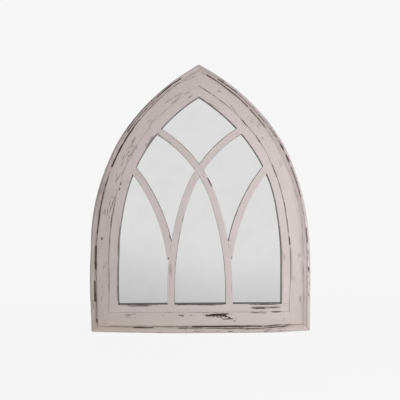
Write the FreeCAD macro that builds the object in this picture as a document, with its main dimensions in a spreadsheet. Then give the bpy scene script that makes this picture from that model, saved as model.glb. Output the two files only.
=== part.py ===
import FreeCAD, Part
import os
import Sketcher
from FreeCAD import Vector

# Garden mirror in a pointed arch frame of painted wood, to hang on a wall.
# X runs to the right seen from the front, Y into the wall and Z up. The front faces -Y.
# The origin is the middle of the bottom edge of the back, on the wall plane Y = 0.
# Depths are measured from the wall plane towards the front.

SIZES = (
    ("overall_width", 610, "width over the edge strips"),
    ("spring_height", 243, "height at which the sides start to curve"),
    ("arch_radius", 565, "outer radius of each side of the arch"),
    ("strip_width", 18, "edge strip, seen from the front"),
    ("strip_depth", 36, "edge strip, from wall to crest"),
    ("strip_lip", 8.5, "width of the strip's raised lip"),
    ("strip_round", 4, "rounding of the strip's outer front edge"),
    ("strip_cove", 11, "radius of the hollow between lip and frame"),
    ("strip_joint_angle", 22, "where the two lengths of a side strip meet, up the arc"),
    ("rail_width", 35, "stiles and arch rails, seen from the front"),
    ("rail_depth", 30, "main frame, from wall to face"),
    ("bottom_rail_height", 39, "bottom rail, seen from the front"),
    ("rail_joint_height", 398, "level joint between stile and arch rail"),
    ("inner_width", 26, "inner frame, seen from the front"),
    ("inner_bottom_height", 22, "inner bottom rail, seen from the front"),
    ("inner_setback", 2, "inner frame's face behind the main frame's face"),
    ("inner_joint_height", 421, "level joint between inner stile and inner arch"),
    ("bar_width", 19.5, "tracery bars, seen from the front"),
    ("mullion_offset", 80.5, "upright foot of a long bar, from the middle"),
    ("bar_spring_height", 116, "height at which a long bar starts to curve"),
    ("bar_lower_radius", 800, "centre line radius of a long bar's slow lower curve"),
    ("bar_bend_height", 370, "height at which the lower curve runs into the upper one"),
    ("bar_upper_radius", 350, "centre line radius of a long bar's tighter upper curve"),
    ("branch_offset", 77.7, "centre line of a branch where its curve is upright, from the middle"),
    ("branch_radius", 494, "centre line radius of a branch"),
    ("branch_spring_height", 148, "height at which a branch's curve is upright"),
    ("branch_toe_height", 202, "blunt lower end of a branch"),
    ("bar_glass_gap", 0.5, "gap between the tracery and the glass"),
    ("glass_thickness", 3, "mirror glass"),
    ("glass_overlap", 10, "glass hidden behind the inner frame"),
    ("glass_clearance", 1, "room round the glass in its rebate"),
    ("board_thickness", 3, "backing board"),
    ("board_recess", 3, "backing board's back face in front of the wall plane"),
    ("board_clearance", 0.5, "room round the backing board"),
    ("board_screw_radius", 1.5, "shank of a backing screw"),
    ("board_screw_length", 15, "shank length of a backing screw"),
    ("board_screw_head_radius", 3, "head of a backing screw"),
    ("board_screw_head_height", 1.8, "head of a backing screw"),
    ("board_screw_first_angle", 5, "lowest backing screw on the arc"),
    ("board_screw_angle_step", 14, "step between backing screws on the arc"),
    ("board_screw_side_height", 130, "backing screw on the straight side"),
    ("board_screw_bottom_offset", 170, "outer backing screws of the bottom row"),
    ("dowel_radius", 4, "dowels in the frame joints"),
    ("dowel_length", 40, "dowels in the frame joints"),
    ("dowel_spacing", 14, "centres of a pair of dowels"),
    ("pin_radius", 0.8, "pins that fix the edge strips"),
    ("pin_length", 34, "pins that fix the edge strips"),
    ("pin_set", 1, "pin heads punched below the surface"),
    ("pin_side_height", 60, "lowest pin in a side strip"),
    ("pin_side_step", 90, "step between pins on the straight side"),
    ("pin_first_angle", 8, "first pin on the arc"),
    ("pin_angle_step", 11, "step between pins on the arc"),
    ("pin_corner_margin", 65, "outermost pins of the bottom strip, from the corner"),
    ("hanger_rise", 72, "axis of the hanger rings above the joint of the arch rail"),
    ("strap_width", 13, "hanger strap"),
    ("strap_length", 42, "hanger strap, below the ring axis"),
    ("strap_thickness", 2, "hanger strap, a strip folded double"),
    ("strap_eye_wall", 1, "metal round the ring in the strap's eye"),
    ("strap_corner", 5, "rounded lower corners of the strap"),
    ("strap_screw_upper", 21, "upper hanger screw, below the ring axis"),
    ("strap_screw_lower", 35, "lower hanger screw, below the ring axis"),
    ("strap_screw_radius", 1.9, "shank of a hanger screw"),
    ("strap_screw_length", 20, "shank length of a hanger screw"),
    ("strap_screw_head_radius", 3.6, "head of a hanger screw"),
    ("strap_screw_head_height", 2.2, "head of a hanger screw"),
    ("ring_wire_radius", 1.4, "wire of a hanger ring"),
    ("ring_clearance", 0.1, "room round the ring in the strap's eye"),
    ("ring_side_gap", 0.8, "room between strap and ring legs"),
    ("ring_corner", 2, "centre line radius of the ring's lower corners"),
    ("ring_leg", 5, "height of the ring's straight legs"),
    ("ring_wall_gap", 0.3, "gap between the upright ring and the frame"),
)
BOARD_SCREWS_ON_ARC = 4
PINS_ON_SIDE = 2
PINS_ON_ARC = 5
PINS_IN_BOTTOM = 5

doc = FreeCAD.newDocument("garden_mirror")
sheet = doc.addObject("Spreadsheet::Sheet", "dims")
for row, (alias, size, meaning) in enumerate(SIZES, start=1):
    sheet.set(f"A{row}", meaning)
    sheet.set(f"B{row}", str(size))
    sheet.setAlias(f"B{row}", alias)
doc.recompute()

# Places worked out from the sizes, as expressions on the sheet.
HALF = "(dims.overall_width / 2)"
SPRING = "dims.spring_height"
ARC_CENTRE = f"(dims.arch_radius - {HALF})"
RAIL_INSET = "dims.strip_width"
INNER_INSET = f"({RAIL_INSET} + dims.rail_width)"
FRAME_EDGE = f"({HALF} - {INNER_INSET})"
SIGHT_INSET = f"({INNER_INSET} + dims.inner_width)"
RAIL_FOOT = "dims.strip_width"
INNER_FOOT = f"({RAIL_FOOT} + dims.bottom_rail_height)"
SIGHT_FOOT = f"({INNER_FOOT} + dims.inner_bottom_height)"
GLASS_INSET = f"({SIGHT_INSET} - dims.glass_overlap)"
GLASS_FOOT = f"({SIGHT_FOOT} - dims.glass_overlap)"
REBATE_INSET = f"({GLASS_INSET} - dims.glass_clearance)"
REBATE_FOOT = f"({GLASS_FOOT} - dims.glass_clearance)"
GLASS_BACK = "(dims.board_recess + dims.board_thickness)"
GLASS_FRONT = f"({GLASS_BACK} + dims.glass_thickness)"
INNER_FRONT = "(dims.rail_depth - dims.inner_setback)"
BAR_BACK = f"({GLASS_FRONT} + dims.bar_glass_gap)"
LAP_DEPTH = f"(({BAR_BACK} + {INNER_FRONT}) / 2)"
HANGER_HEIGHT = "(dims.rail_joint_height + dims.hanger_rise)"
EYE_RADIUS = "(dims.ring_wire_radius + dims.ring_clearance + dims.strap_eye_wall)"
RING_HALF = "(dims.strap_width / 2 + dims.ring_side_gap + dims.ring_wire_radius)"
RING_REACH = f"(dims.ring_leg + {RING_HALF})"

nodes = {}


def value(expression):
    return float(sheet.evalExpression(expression))


def arc_x(inset, height):
    """X on the left arc, inset from the outside, at a height."""
    return f"({ARC_CENTRE} - sqrt((dims.arch_radius - {inset})^2 - ({height} - {SPRING})^2))"


def apex_height(inset):
    """Height at which the two arcs meet, inset from the outside."""
    return f"({SPRING} + sqrt((dims.arch_radius - {inset})^2 - {ARC_CENTRE}^2))"


def make(kind, name):
    thing = doc.addObject(kind, name)
    thing.Label = name
    return thing


def bind(thing, **expressions):
    """Bind properties to expressions. A double underscore stands for a dot."""
    for path, expression in expressions.items():
        thing.setExpression(path.replace("__", "."), str(expression))


def sketch_on(body, plane):
    sketch = body.newObject("Sketcher::SketchObject", body.Name + "_sketch")
    support = next(feature for feature in body.Origin.OriginFeatures if feature.Role == plane)
    sketch.AttachmentSupport = [(support, "")]
    sketch.MapMode = "FlatFace"
    return sketch


def pin_point(sketch, geometry, end, x, y):
    """Tie a point of the sketch to its two coordinates."""
    for kind, expression in (("DistanceX", x), ("DistanceY", y)):
        tie = Sketcher.Constraint(kind, -1, 1, geometry, end, value(expression))
        number = sketch.addConstraint(tie)
        sketch.setExpression(f"Constraints[{number}]", expression)


def set_radius(sketch, geometry, radius):
    number = sketch.addConstraint(Sketcher.Constraint("Radius", geometry, value(radius)))
    sketch.setExpression(f"Constraints[{number}]", radius)


def draw_outline(sketch, corners, arcs):
    """Closed outline. arcs maps a side to its radius and to +1 where it bulges left, else -1."""
    points = [Vector(value(x), value(y), 0) for x, y in corners]
    ends = []
    for side, start in enumerate(points):
        stop = points[(side + 1) % len(points)]
        if side not in arcs:
            line = sketch.addGeometry(Part.LineSegment(start, stop))
            ends.append((line, 1, 2))
            continue
        radius, bulge = arcs[side]
        chord = stop - start
        left = Vector(-chord.y, chord.x, 0).normalize()
        sagitta = value(radius) - max(value(radius) ** 2 - chord.Length ** 2 / 4, 0) ** 0.5
        middle = (start + stop) * 0.5 + left * sagitta * bulge
        arc = sketch.addGeometry(Part.Arc(start, middle, stop))
        first_end = sketch.getPoint(arc, 1)
        forward = first_end.distanceToPoint(start) < first_end.distanceToPoint(stop)
        ends.append((arc, 1, 2) if forward else (arc, 2, 1))
    for side, (geometry, first, last) in enumerate(ends):
        after, after_first, after_last = ends[(side + 1) % len(ends)]
        sketch.addConstraint(Sketcher.Constraint("Coincident", geometry, last, after, after_first))
    for (geometry, first, last), (x, y) in zip(ends, corners):
        pin_point(sketch, geometry, first, x, y)
    for side, (radius, bulge) in arcs.items():
        set_radius(sketch, ends[side][0], radius)


def pad(body, sketch, length, symmetric=False):
    feature = body.newObject("PartDesign::Pad", body.Name + "_pad")
    feature.Profile = sketch
    feature.SideType = "Symmetric" if symmetric else "One side"
    bind(feature, Length=length)
    return feature


def board(name, corners, arcs, back, front):
    """A flat piece sawn to an outline seen from the front, between two depths."""
    body = make("PartDesign::Body", name)
    sketch = sketch_on(body, "XZ_Plane")
    bind(sketch, AttachmentOffset__Base__z=back)
    draw_outline(sketch, corners, arcs)
    pad(body, sketch, f"{front} - {back}")
    return body


def arch_board(name, inset, foot, back, front):
    """A board that fills the whole arch inside an inset."""
    edge = f"({HALF} - {inset})"
    corners = (
        (f"-{edge}", foot),
        (f"-{edge}", SPRING),
        ("0", apex_height(inset)),
        (edge, SPRING),
        (edge, foot),
    )
    radius = f"dims.arch_radius - {inset}"
    return board(name, corners, {1: (radius, 1), 2: (radius, 1)}, back, front)


def lower_band(name, outer, inner, foot, top, back, front):
    """The straight part of the left side with the start of its curve."""
    corners = (
        (f"-({HALF} - {outer})", foot),
        (f"-({HALF} - {outer})", SPRING),
        (arc_x(outer, top), top),
        (arc_x(inner, top), top),
        (f"-({HALF} - {inner})", SPRING),
        (f"-({HALF} - {inner})", foot),
    )
    arcs = {1: (f"dims.arch_radius - {outer}", 1), 3: (f"dims.arch_radius - {inner}", -1)}
    return board(name, corners, arcs, back, front)


def upper_band(name, outer, inner, foot, back, front):
    """The curved upper part of the left side, up to the mitre in the middle."""
    corners = (
        (arc_x(outer, foot), foot),
        ("0", apex_height(outer)),
        ("0", apex_height(inner)),
        (arc_x(inner, foot), foot),
    )
    arcs = {0: (f"dims.arch_radius - {outer}", 1), 2: (f"dims.arch_radius - {inner}", -1)}
    return board(name, corners, arcs, back, front)


def boolean(kind, name, base, tool):
    result = make(kind, name)
    result.Base = base
    result.Tool = tool
    return result


def group(name, members):
    result = make("Part::Compound", name)
    result.Links = members
    return result


def mirrored(name, source):
    """The same piece for the right-hand side."""
    result = make("Part::Mirroring", name)
    result.Source = source
    result.Normal = Vector(1, 0, 0)
    return result


def keep(thing):
    """Hand in a piece under its label."""
    nodes[thing.Label] = thing


def keep_pair(name, source):
    """Hand in a left-hand piece and its mirror image."""
    source.Label = f"left_{name}"
    keep(source)
    keep(mirrored(f"right_{name}", source))


def peg(name, radius, length, base, axis, angle):
    """A round peg from a base point, turned from upright about an axis."""
    cylinder = make("Part::Cylinder", name)
    bind(cylinder, Radius=radius, Height=length)
    for letter, place, part in zip("xyz", base, axis):
        cylinder.setExpression(f"Placement.Base.{letter}", place)
        cylinder.setExpression(f"Placement.Rotation.Axis.{letter}", str(part))
    bind(cylinder, Placement__Rotation__Angle=angle)
    return cylinder


def wall_screw(name, kind, x, seat, z):
    """A screw driven towards the front, its head seated at a depth."""
    shank = peg(f"{name}_shank", f"dims.{kind}_screw_radius", f"dims.{kind}_screw_length",
                (x, f"-{seat}", z), (1, 0, 0), "90")
    head = peg(f"{name}_head", f"dims.{kind}_screw_head_radius", f"dims.{kind}_screw_head_height",
               (x, f"-{seat}", z), (1, 0, 0), "-90")
    return boolean("Part::Fuse", name, shank, head)


# Dowels of the frame joints: side joint, bottom corner and apex.
SIDE_DOWEL_X = arc_x(f"({RAIL_INSET} + dims.rail_width / 2)", "dims.rail_joint_height")
CORNER_DOWEL_Z = f"({RAIL_FOOT} + dims.bottom_rail_height / 2)"
APEX_DOWEL_Z = f"(({apex_height(RAIL_INSET)} + {apex_height(INNER_INSET)}) / 2 - dims.dowel_radius)"
side_dowels = []
apex_dowels = []
for number, step in enumerate(("-0.5", "0.5")):
    depth = f"-(dims.rail_depth / 2 + {step} * dims.dowel_spacing)"
    side_dowels.append(peg(
        f"side_dowel_{number}", "dims.dowel_radius", "dims.dowel_length",
        (SIDE_DOWEL_X, depth, "dims.rail_joint_height - dims.dowel_length / 2"), (0, 1, 0), "0"))
    side_dowels.append(peg(
        f"corner_dowel_{number}", "dims.dowel_radius", "dims.dowel_length",
        (f"-{FRAME_EDGE} - dims.dowel_length / 2", depth, CORNER_DOWEL_Z), (0, 1, 0), "90"))
    apex_dowels.append(peg(
        f"apex_dowel_{number}", "dims.dowel_radius", "dims.dowel_length",
        ("-dims.dowel_length / 2", depth, APEX_DOWEL_Z), (0, 1, 0), "90"))
left_dowels = group("left_dowels", side_dowels)
right_dowels = mirrored("right_dowels", left_dowels)
rail_dowels = group("rail_dowels", [left_dowels, right_dowels] + apex_dowels)
keep(rail_dowels)

# Pins of the edge strips, square to the edge, their heads punched below the surface.
PIN_DEPTH = "-(dims.rail_depth / 2)"
PIN_INNER = "(dims.pin_set + dims.pin_length)"
side_pins = []
for number in range(PINS_ON_SIDE):
    height = f"dims.pin_side_height + {number} * dims.pin_side_step"
    side_pins.append(peg(
        f"side_pin_{number}", "dims.pin_radius", "dims.pin_length",
        (f"-({HALF} - {PIN_INNER})", PIN_DEPTH, height), (0, 1, 0), "-90"))
for number in range(PINS_ON_ARC):
    angle = f"(dims.pin_first_angle + {number} * dims.pin_angle_step)"
    reach = f"(dims.arch_radius - {PIN_INNER})"
    side_pins.append(peg(
        f"arc_pin_{number}", "dims.pin_radius", "dims.pin_length",
        (f"{ARC_CENTRE} - {reach} * cos({angle})", PIN_DEPTH, f"{SPRING} + {reach} * sin({angle})"),
        (0, 1, 0), f"{angle} - 90"))
bottom_pins = []
for number in range(PINS_IN_BOTTOM):
    share = number / (PINS_IN_BOTTOM - 1) - 0.5
    place = f"{2 * share} * ({HALF} - dims.pin_corner_margin)"
    bottom_pins.append(peg(
        f"bottom_pin_{number}", "dims.pin_radius", "dims.pin_length",
        (place, PIN_DEPTH, "dims.pin_set"), (0, 1, 0), "0"))
left_pins = group("left_pins", side_pins)
right_pins = mirrored("right_pins", left_pins)
edge_strip_pins = group("edge_strip_pins", [left_pins, right_pins] + bottom_pins)
keep(edge_strip_pins)

# Backing screws, through the board into the land behind the inner frame.
LAND_INSET = f"(({REBATE_INSET} + {INNER_INSET}) / 2)"
LAND_FOOT = f"(({REBATE_FOOT} + {INNER_FOOT}) / 2)"
side_screws = [wall_screw("side_screw", "board", f"-({HALF} - {LAND_INSET})", "dims.board_recess",
                          "dims.board_screw_side_height")]
for number in range(BOARD_SCREWS_ON_ARC):
    angle = f"(dims.board_screw_first_angle + {number} * dims.board_screw_angle_step)"
    reach = f"(dims.arch_radius - {LAND_INSET})"
    side_screws.append(wall_screw(
        f"arc_screw_{number}", "board", f"{ARC_CENTRE} - {reach} * cos({angle})", "dims.board_recess",
        f"{SPRING} + {reach} * sin({angle})"))
bottom_screws = [
    wall_screw(f"bottom_screw_{number}", "board", f"{number - 1} * dims.board_screw_bottom_offset",
               "dims.board_recess", LAND_FOOT)
    for number in range(3)
]
left_screws = group("left_screws", side_screws)
right_screws = mirrored("right_screws", left_screws)
backing_screws = group("backing_screws", [left_screws, right_screws] + bottom_screws)
keep(backing_screws)

# Hanger screws, through the strap into the arch rail.
HANGER_X = arc_x(f"({RAIL_INSET} + dims.rail_width / 2)", f"({HANGER_HEIGHT} - dims.strap_length / 2)")
STRAP_SEAT = "(-dims.strap_thickness)"
left_hanger_screws = group("left_hanger_screws", [
    wall_screw(f"hanger_screw_{place}", "strap", HANGER_X, STRAP_SEAT,
               f"{HANGER_HEIGHT} - dims.strap_screw_{place}")
    for place in ("upper", "lower")
])
right_hanger_screws = mirrored("right_hanger_screws", left_hanger_screws)
keep(group("hanger_screws", [left_hanger_screws, right_hanger_screws]))

# Main frame: stile and arch rail on each side, doweled end to end, and the bottom rail.
stile_blank = lower_band("stile_blank", RAIL_INSET, INNER_INSET, RAIL_FOOT, "dims.rail_joint_height",
                         "0", "dims.rail_depth")
stile_bored = boolean("Part::Cut", "stile_bored", stile_blank, rail_dowels)
keep_pair("stile", boolean("Part::Cut", "stile", stile_bored, edge_strip_pins))

arch_blank = upper_band("arch_rail_blank", RAIL_INSET, INNER_INSET, "dims.rail_joint_height",
                        "0", "dims.rail_depth")
arch_bored = boolean("Part::Cut", "arch_rail_bored", arch_blank, rail_dowels)
arch_pinned = boolean("Part::Cut", "arch_rail_pinned", arch_bored, edge_strip_pins)
keep_pair("arch_rail", boolean("Part::Cut", "arch_rail", arch_pinned, left_hanger_screws))

bottom_blank = board(
    "bottom_rail_blank",
    ((f"-{FRAME_EDGE}", RAIL_FOOT), (FRAME_EDGE, RAIL_FOOT),
     (FRAME_EDGE, INNER_FOOT), (f"-{FRAME_EDGE}", INNER_FOOT)),
    {}, "0", "dims.rail_depth")
bottom_bored = boolean("Part::Cut", "bottom_rail_bored", bottom_blank, rail_dowels)
keep(boolean("Part::Cut", "bottom_rail", bottom_bored, edge_strip_pins))

# Edge strip: a moulded section with a rounded lip and a hollow down to the frame's face.
STRIP_SECTION = (
    ("0", "0"),
    ("0", "(dims.strip_depth - dims.strip_round)"),
    ("dims.strip_round", "dims.strip_depth"),
    ("dims.strip_lip", "dims.strip_depth"),
    ("dims.strip_width", "dims.rail_depth"),
    ("dims.strip_width", "0"),
)


def strip_arcs(bulge):
    """The rounded outer edge and the hollow of the section."""
    return {1: ("dims.strip_round", bulge), 3: ("dims.strip_cove", -bulge)}


def draw_side_section(body):
    """The strip's section across the left side, measured from the centre of its arc."""
    sketch = sketch_on(body, "XY_Plane")
    bind(sketch, AttachmentOffset__Base__x=ARC_CENTRE, AttachmentOffset__Base__z=SPRING)
    corners = [(f"{across} - dims.arch_radius", f"-{depth}") for across, depth in STRIP_SECTION]
    draw_outline(sketch, corners, strip_arcs(-1))
    return sketch


def sweep_round(body, sketch, angle):
    """Carry the section round the arc."""
    feature = body.newObject("PartDesign::Revolution", body.Name + "_sweep")
    feature.Profile = sketch
    feature.ReferenceAxis = (sketch, ["V_Axis"])
    bind(feature, Angle=angle)


def cut_mitre(body, corners):
    """Saw a corner off, right through the depth."""
    sketch = sketch_on(body, "XZ_Plane")
    draw_outline(sketch, corners, {})
    feature = body.newObject("PartDesign::Pocket", body.Name + "_mitre")
    feature.Profile = sketch
    feature.Type = "ThroughAll"
    feature.SideType = "Symmetric"


lower_strip = make("PartDesign::Body", "edge_strip_lower_blank")
lower_section = draw_side_section(lower_strip)
lower_pad = pad(lower_strip, lower_section, SPRING)
lower_pad.Reversed = True
sweep_round(lower_strip, lower_section, "dims.strip_joint_angle")
cut_mitre(lower_strip, (
    (f"-{HALF}", "0"),
    (f"-{HALF} + dims.strip_width", "0"),
    (f"-{HALF} + dims.strip_width", "dims.strip_width"),
))
keep_pair("edge_strip_lower", boolean("Part::Cut", "edge_strip_lower", lower_strip, left_pins))

upper_strip = make("PartDesign::Body", "edge_strip_upper_blank")
upper_section = draw_side_section(upper_strip)
bind(upper_section, AttachmentOffset__Rotation__Axis__x="0", AttachmentOffset__Rotation__Axis__y="1",
     AttachmentOffset__Rotation__Axis__z="0", AttachmentOffset__Rotation__Angle="dims.strip_joint_angle")
sweep_round(upper_strip, upper_section, "90 - dims.strip_joint_angle")
left_half = make("Part::Box", "left_half")
bind(left_half, Length=HALF, Width="dims.strip_depth", Height=apex_height("0"),
     Placement__Base__x=f"-{HALF}", Placement__Base__y="-dims.strip_depth")
upper_mitred = boolean("Part::Common", "edge_strip_upper_mitred", upper_strip, left_half)
keep_pair("edge_strip_upper", boolean("Part::Cut", "edge_strip_upper", upper_mitred, left_pins))

bottom_strip = make("PartDesign::Body", "bottom_edge_strip_blank")
bottom_section = sketch_on(bottom_strip, "YZ_Plane")
draw_outline(bottom_section, [(f"-{depth}", across) for across, depth in STRIP_SECTION], strip_arcs(1))
pad(bottom_strip, bottom_section, "dims.overall_width", symmetric=True)
for sign in ("-1", "1"):
    cut_mitre(bottom_strip, (
        (f"{sign} * {HALF}", "0"),
        (f"{sign} * {HALF}", "dims.strip_width"),
        (f"{sign} * ({HALF} - dims.strip_width)", "dims.strip_width"),
    ))
keep(boolean("Part::Cut", "bottom_edge_strip", bottom_strip, edge_strip_pins))

# Inner frame, rebated at the back for the glass.
glass_space = arch_board("glass_space", REBATE_INSET, REBATE_FOOT, GLASS_BACK, GLASS_FRONT)

inner_stile_blank = lower_band("inner_stile_blank", INNER_INSET, SIGHT_INSET, SIGHT_FOOT,
                               "dims.inner_joint_height", GLASS_BACK, INNER_FRONT)
inner_stile_rebated = boolean("Part::Cut", "inner_stile_rebated", inner_stile_blank, glass_space)
keep_pair("inner_stile", boolean("Part::Cut", "inner_stile", inner_stile_rebated, left_screws))

inner_arch_blank = upper_band("inner_arch_blank", INNER_INSET, SIGHT_INSET, "dims.inner_joint_height",
                              GLASS_BACK, INNER_FRONT)
inner_arch_rebated = boolean("Part::Cut", "inner_arch_rebated", inner_arch_blank, glass_space)
keep_pair("inner_arch", boolean("Part::Cut", "inner_arch", inner_arch_rebated, left_screws))

inner_bottom_blank = board(
    "inner_bottom_blank",
    ((f"-{FRAME_EDGE}", INNER_FOOT), (FRAME_EDGE, INNER_FOOT),
     (FRAME_EDGE, SIGHT_FOOT), (f"-{FRAME_EDGE}", SIGHT_FOOT)),
    {}, GLASS_BACK, INNER_FRONT)
inner_bottom_rebated = boolean("Part::Cut", "inner_bottom_rebated", inner_bottom_blank, glass_space)
keep(boolean("Part::Cut", "inner_bottom_rail", inner_bottom_rebated, backing_screws))

# Tracery: long bars from each mullion to the far arch, half lapped where they cross.
sight_opening = arch_board("sight_opening", SIGHT_INSET, SIGHT_FOOT, BAR_BACK, INNER_FRONT)
BEND_SINE = "((dims.bar_bend_height - dims.bar_spring_height) / dims.bar_lower_radius)"
BEND_COSINE = f"sqrt(1 - {BEND_SINE}^2)"
LOWER_CENTRE = "(dims.bar_lower_radius - dims.mullion_offset)"
RADIUS_STEP = "(dims.bar_lower_radius - dims.bar_upper_radius)"
UPPER_CENTRE = f"({LOWER_CENTRE} - {RADIUS_STEP} * {BEND_COSINE})"
UPPER_SPRING = f"(dims.bar_spring_height + {RADIUS_STEP} * {BEND_SINE})"


def bar_edge(sign, side):
    """Corners of one edge of a long bar, from its foot up. side is 1 for the outer edge, -1 for the inner."""
    lower = f"(dims.bar_lower_radius + {side} * dims.bar_width / 2)"
    upper = f"(dims.bar_upper_radius + {side} * dims.bar_width / 2)"
    upright = f"({sign} * (dims.mullion_offset + {side} * dims.bar_width / 2))"
    bend = f"({sign} * ({lower} * {BEND_COSINE} - {LOWER_CENTRE}))"
    far = f"({-sign} * {FRAME_EDGE})"
    corners = (
        (upright, SIGHT_FOOT),
        (upright, "dims.bar_spring_height"),
        (bend, f"(dims.bar_spring_height + {lower} * {BEND_SINE})"),
        (far, f"({UPPER_SPRING} + sqrt({upper}^2 - ({FRAME_EDGE} - {UPPER_CENTRE})^2))"),
    )
    return corners, lower, upper


def long_bar(name, sign, back, front):
    """An upright bar that curves over to the far side. sign is -1 for the left mullion."""
    outer, outer_lower, outer_upper = bar_edge(sign, 1)
    inner, inner_lower, inner_upper = bar_edge(sign, -1)
    arcs = {1: (outer_lower, -sign), 2: (outer_upper, -sign), 4: (inner_upper, sign), 5: (inner_lower, sign)}
    return board(name, outer + inner[::-1], arcs, back, front)


left_blank = long_bar("left_bar_blank", -1, BAR_BACK, INNER_FRONT)
right_blank = long_bar("right_bar_blank", 1, BAR_BACK, INNER_FRONT)
left_trimmed = boolean("Part::Common", "left_bar_trimmed", left_blank, sight_opening)
right_trimmed = boolean("Part::Common", "right_bar_trimmed", right_blank, sight_opening)
left_back_half = long_bar("left_bar_back_half", -1, BAR_BACK, LAP_DEPTH)
right_front_half = long_bar("right_bar_front_half", 1, LAP_DEPTH, INNER_FRONT)
keep(boolean("Part::Cut", "left_tracery_bar", left_trimmed, right_front_half))
keep(boolean("Part::Cut", "right_tracery_bar", right_trimmed, left_back_half))

# Branches: one curve each, turned outwards and scarfed on to the side of a long bar.
BRANCH_CENTRE = "(-(dims.branch_offset + dims.branch_radius))"
BRANCH_FAR = "(dims.branch_radius + dims.bar_width / 2)"
BRANCH_NEAR = "(dims.branch_radius - dims.bar_width / 2)"


def branch_x(radius, height):
    """X on an edge of the left branch at a height."""
    return f"({BRANCH_CENTRE} + sqrt({radius}^2 - ({height} - dims.branch_spring_height)^2))"


def branch_height(radius, x):
    """Height on an edge of the left branch at a distance across."""
    return f"(dims.branch_spring_height + sqrt({radius}^2 - ({x} - {BRANCH_CENTRE})^2))"


branch_blank = board(
    "branch_blank",
    ((branch_x(BRANCH_NEAR, "dims.branch_toe_height"), "dims.branch_toe_height"),
     (branch_x(BRANCH_FAR, "dims.branch_toe_height"), "dims.branch_toe_height"),
     (f"-{FRAME_EDGE}", branch_height(BRANCH_FAR, f"(-{FRAME_EDGE})")),
     (f"-{FRAME_EDGE}", branch_height(BRANCH_NEAR, f"(-{FRAME_EDGE})"))),
    {1: (BRANCH_FAR, -1), 3: (BRANCH_NEAR, 1)}, BAR_BACK, INNER_FRONT)
branch_trimmed = boolean("Part::Common", "branch_trimmed", branch_blank, sight_opening)
keep_pair("tracery_branch", boolean("Part::Cut", "tracery_branch", branch_trimmed, left_blank))

# Mirror glass, and the backing board that holds it in its rebate.
keep(arch_board("mirror_glass", GLASS_INSET, GLASS_FOOT, GLASS_BACK, GLASS_FRONT))
backing_blank = arch_board("backing_blank", f"({INNER_INSET} + dims.board_clearance)",
                           f"({INNER_FOOT} + dims.board_clearance)", "dims.board_recess", GLASS_BACK)
keep(boolean("Part::Cut", "backing_board", backing_blank, backing_screws))

# Hanger strap: a strip folded double round the ring, flat on the back of the arch rail.
strap = make("PartDesign::Body", "strap_blank")
strap_section = sketch_on(strap, "YZ_Plane")
EYE_DROP = f"(-sqrt({EYE_RADIUS}^2 - (dims.strap_thickness - {EYE_RADIUS})^2))"
draw_outline(
    strap_section,
    (("0", "-dims.strap_length"), ("0", "0"), (EYE_RADIUS, EYE_RADIUS), (f"2 * {EYE_RADIUS}", "0"),
     ("dims.strap_thickness", EYE_DROP), ("dims.strap_thickness", "-dims.strap_length")),
    {1: (EYE_RADIUS, 1), 2: (EYE_RADIUS, 1), 3: (EYE_RADIUS, 1)})
eye_hole = strap_section.addGeometry(Part.Circle(Vector(value(EYE_RADIUS), 0, 0), Vector(0, 0, 1), 1))
pin_point(strap_section, eye_hole, 3, EYE_RADIUS, "0")
set_radius(strap_section, eye_hole, "dims.ring_wire_radius + dims.ring_clearance")
strap_pad = pad(strap, strap_section, "dims.strap_width", symmetric=True)
doc.recompute()
TOLERANCE = 0.01
lower_end = value("-dims.strap_length") + TOLERANCE
lower_corners = [
    f"Edge{number}" for number, edge in enumerate(strap.Shape.Edges, start=1)
    if edge.BoundBox.ZMax < lower_end and edge.BoundBox.XLength < TOLERANCE
]
corner_round = strap.newObject("PartDesign::Fillet", "strap_corners")
corner_round.Base = (strap_pad, lower_corners)
bind(corner_round, Radius="dims.strap_corner")
bind(strap, Placement__Base__x=HANGER_X, Placement__Base__z=HANGER_HEIGHT)
keep_pair("hanger_strap", boolean("Part::Cut", "hanger_strap", strap, left_hanger_screws))

# Hanger ring: a D of wire whose straight side turns in the strap's eye. It stands up from
# the strap as it does when the mirror hangs, leaning on the back of the frame.
ring = make("PartDesign::Body", "hanger_ring")
ring_path = sketch_on(ring, "XZ_Plane")
RING_STRAIGHT = f"({RING_HALF} - dims.ring_corner)"
draw_outline(
    ring_path,
    (("0", "0"), (RING_STRAIGHT, "0"), (RING_HALF, "dims.ring_corner"), (RING_HALF, "dims.ring_leg"),
     ("0", RING_REACH), (f"-{RING_HALF}", "dims.ring_leg"), (f"-{RING_HALF}", "dims.ring_corner"),
     (f"-{RING_STRAIGHT}", "0")),
    {1: ("dims.ring_corner", -1), 3: (RING_HALF, -1), 4: (RING_HALF, -1), 6: ("dims.ring_corner", -1)})
ring_section = sketch_on(ring, "YZ_Plane")
wire = ring_section.addGeometry(Part.Circle(Vector(0, 0, 0), Vector(0, 0, 1), 1))
pin_point(ring_section, wire, 3, "0", "0")
set_radius(ring_section, wire, "dims.ring_wire_radius")
ring_sweep = ring.newObject("PartDesign::AdditivePipe", "ring_sweep")
ring_sweep.Profile = ring_section
ring_sweep.Spine = ring_path
RING_LEAN = f"asin(({EYE_RADIUS} - dims.ring_wire_radius - dims.ring_wall_gap) / {RING_REACH})"
bind(ring, Placement__Base__x=HANGER_X, Placement__Base__y=EYE_RADIUS,
     Placement__Base__z=HANGER_HEIGHT,
     Placement__Rotation__Axis__x="1", Placement__Rotation__Axis__y="0", Placement__Rotation__Axis__z="0",
     Placement__Rotation__Angle=RING_LEAN)
keep_pair("hanger_ring", ring)

doc.recompute()
failed = [thing.Label for thing in doc.Objects if {"Invalid", "Error"} & set(thing.State)]
if failed:
    raise RuntimeError(f"not rebuilt: {failed}")
for label, thing in nodes.items():
    if thing.Shape.isNull() or not thing.Shape.isValid() or not thing.Shape.Solids:
        raise RuntimeError(f"no sound solid: {label}")

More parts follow.
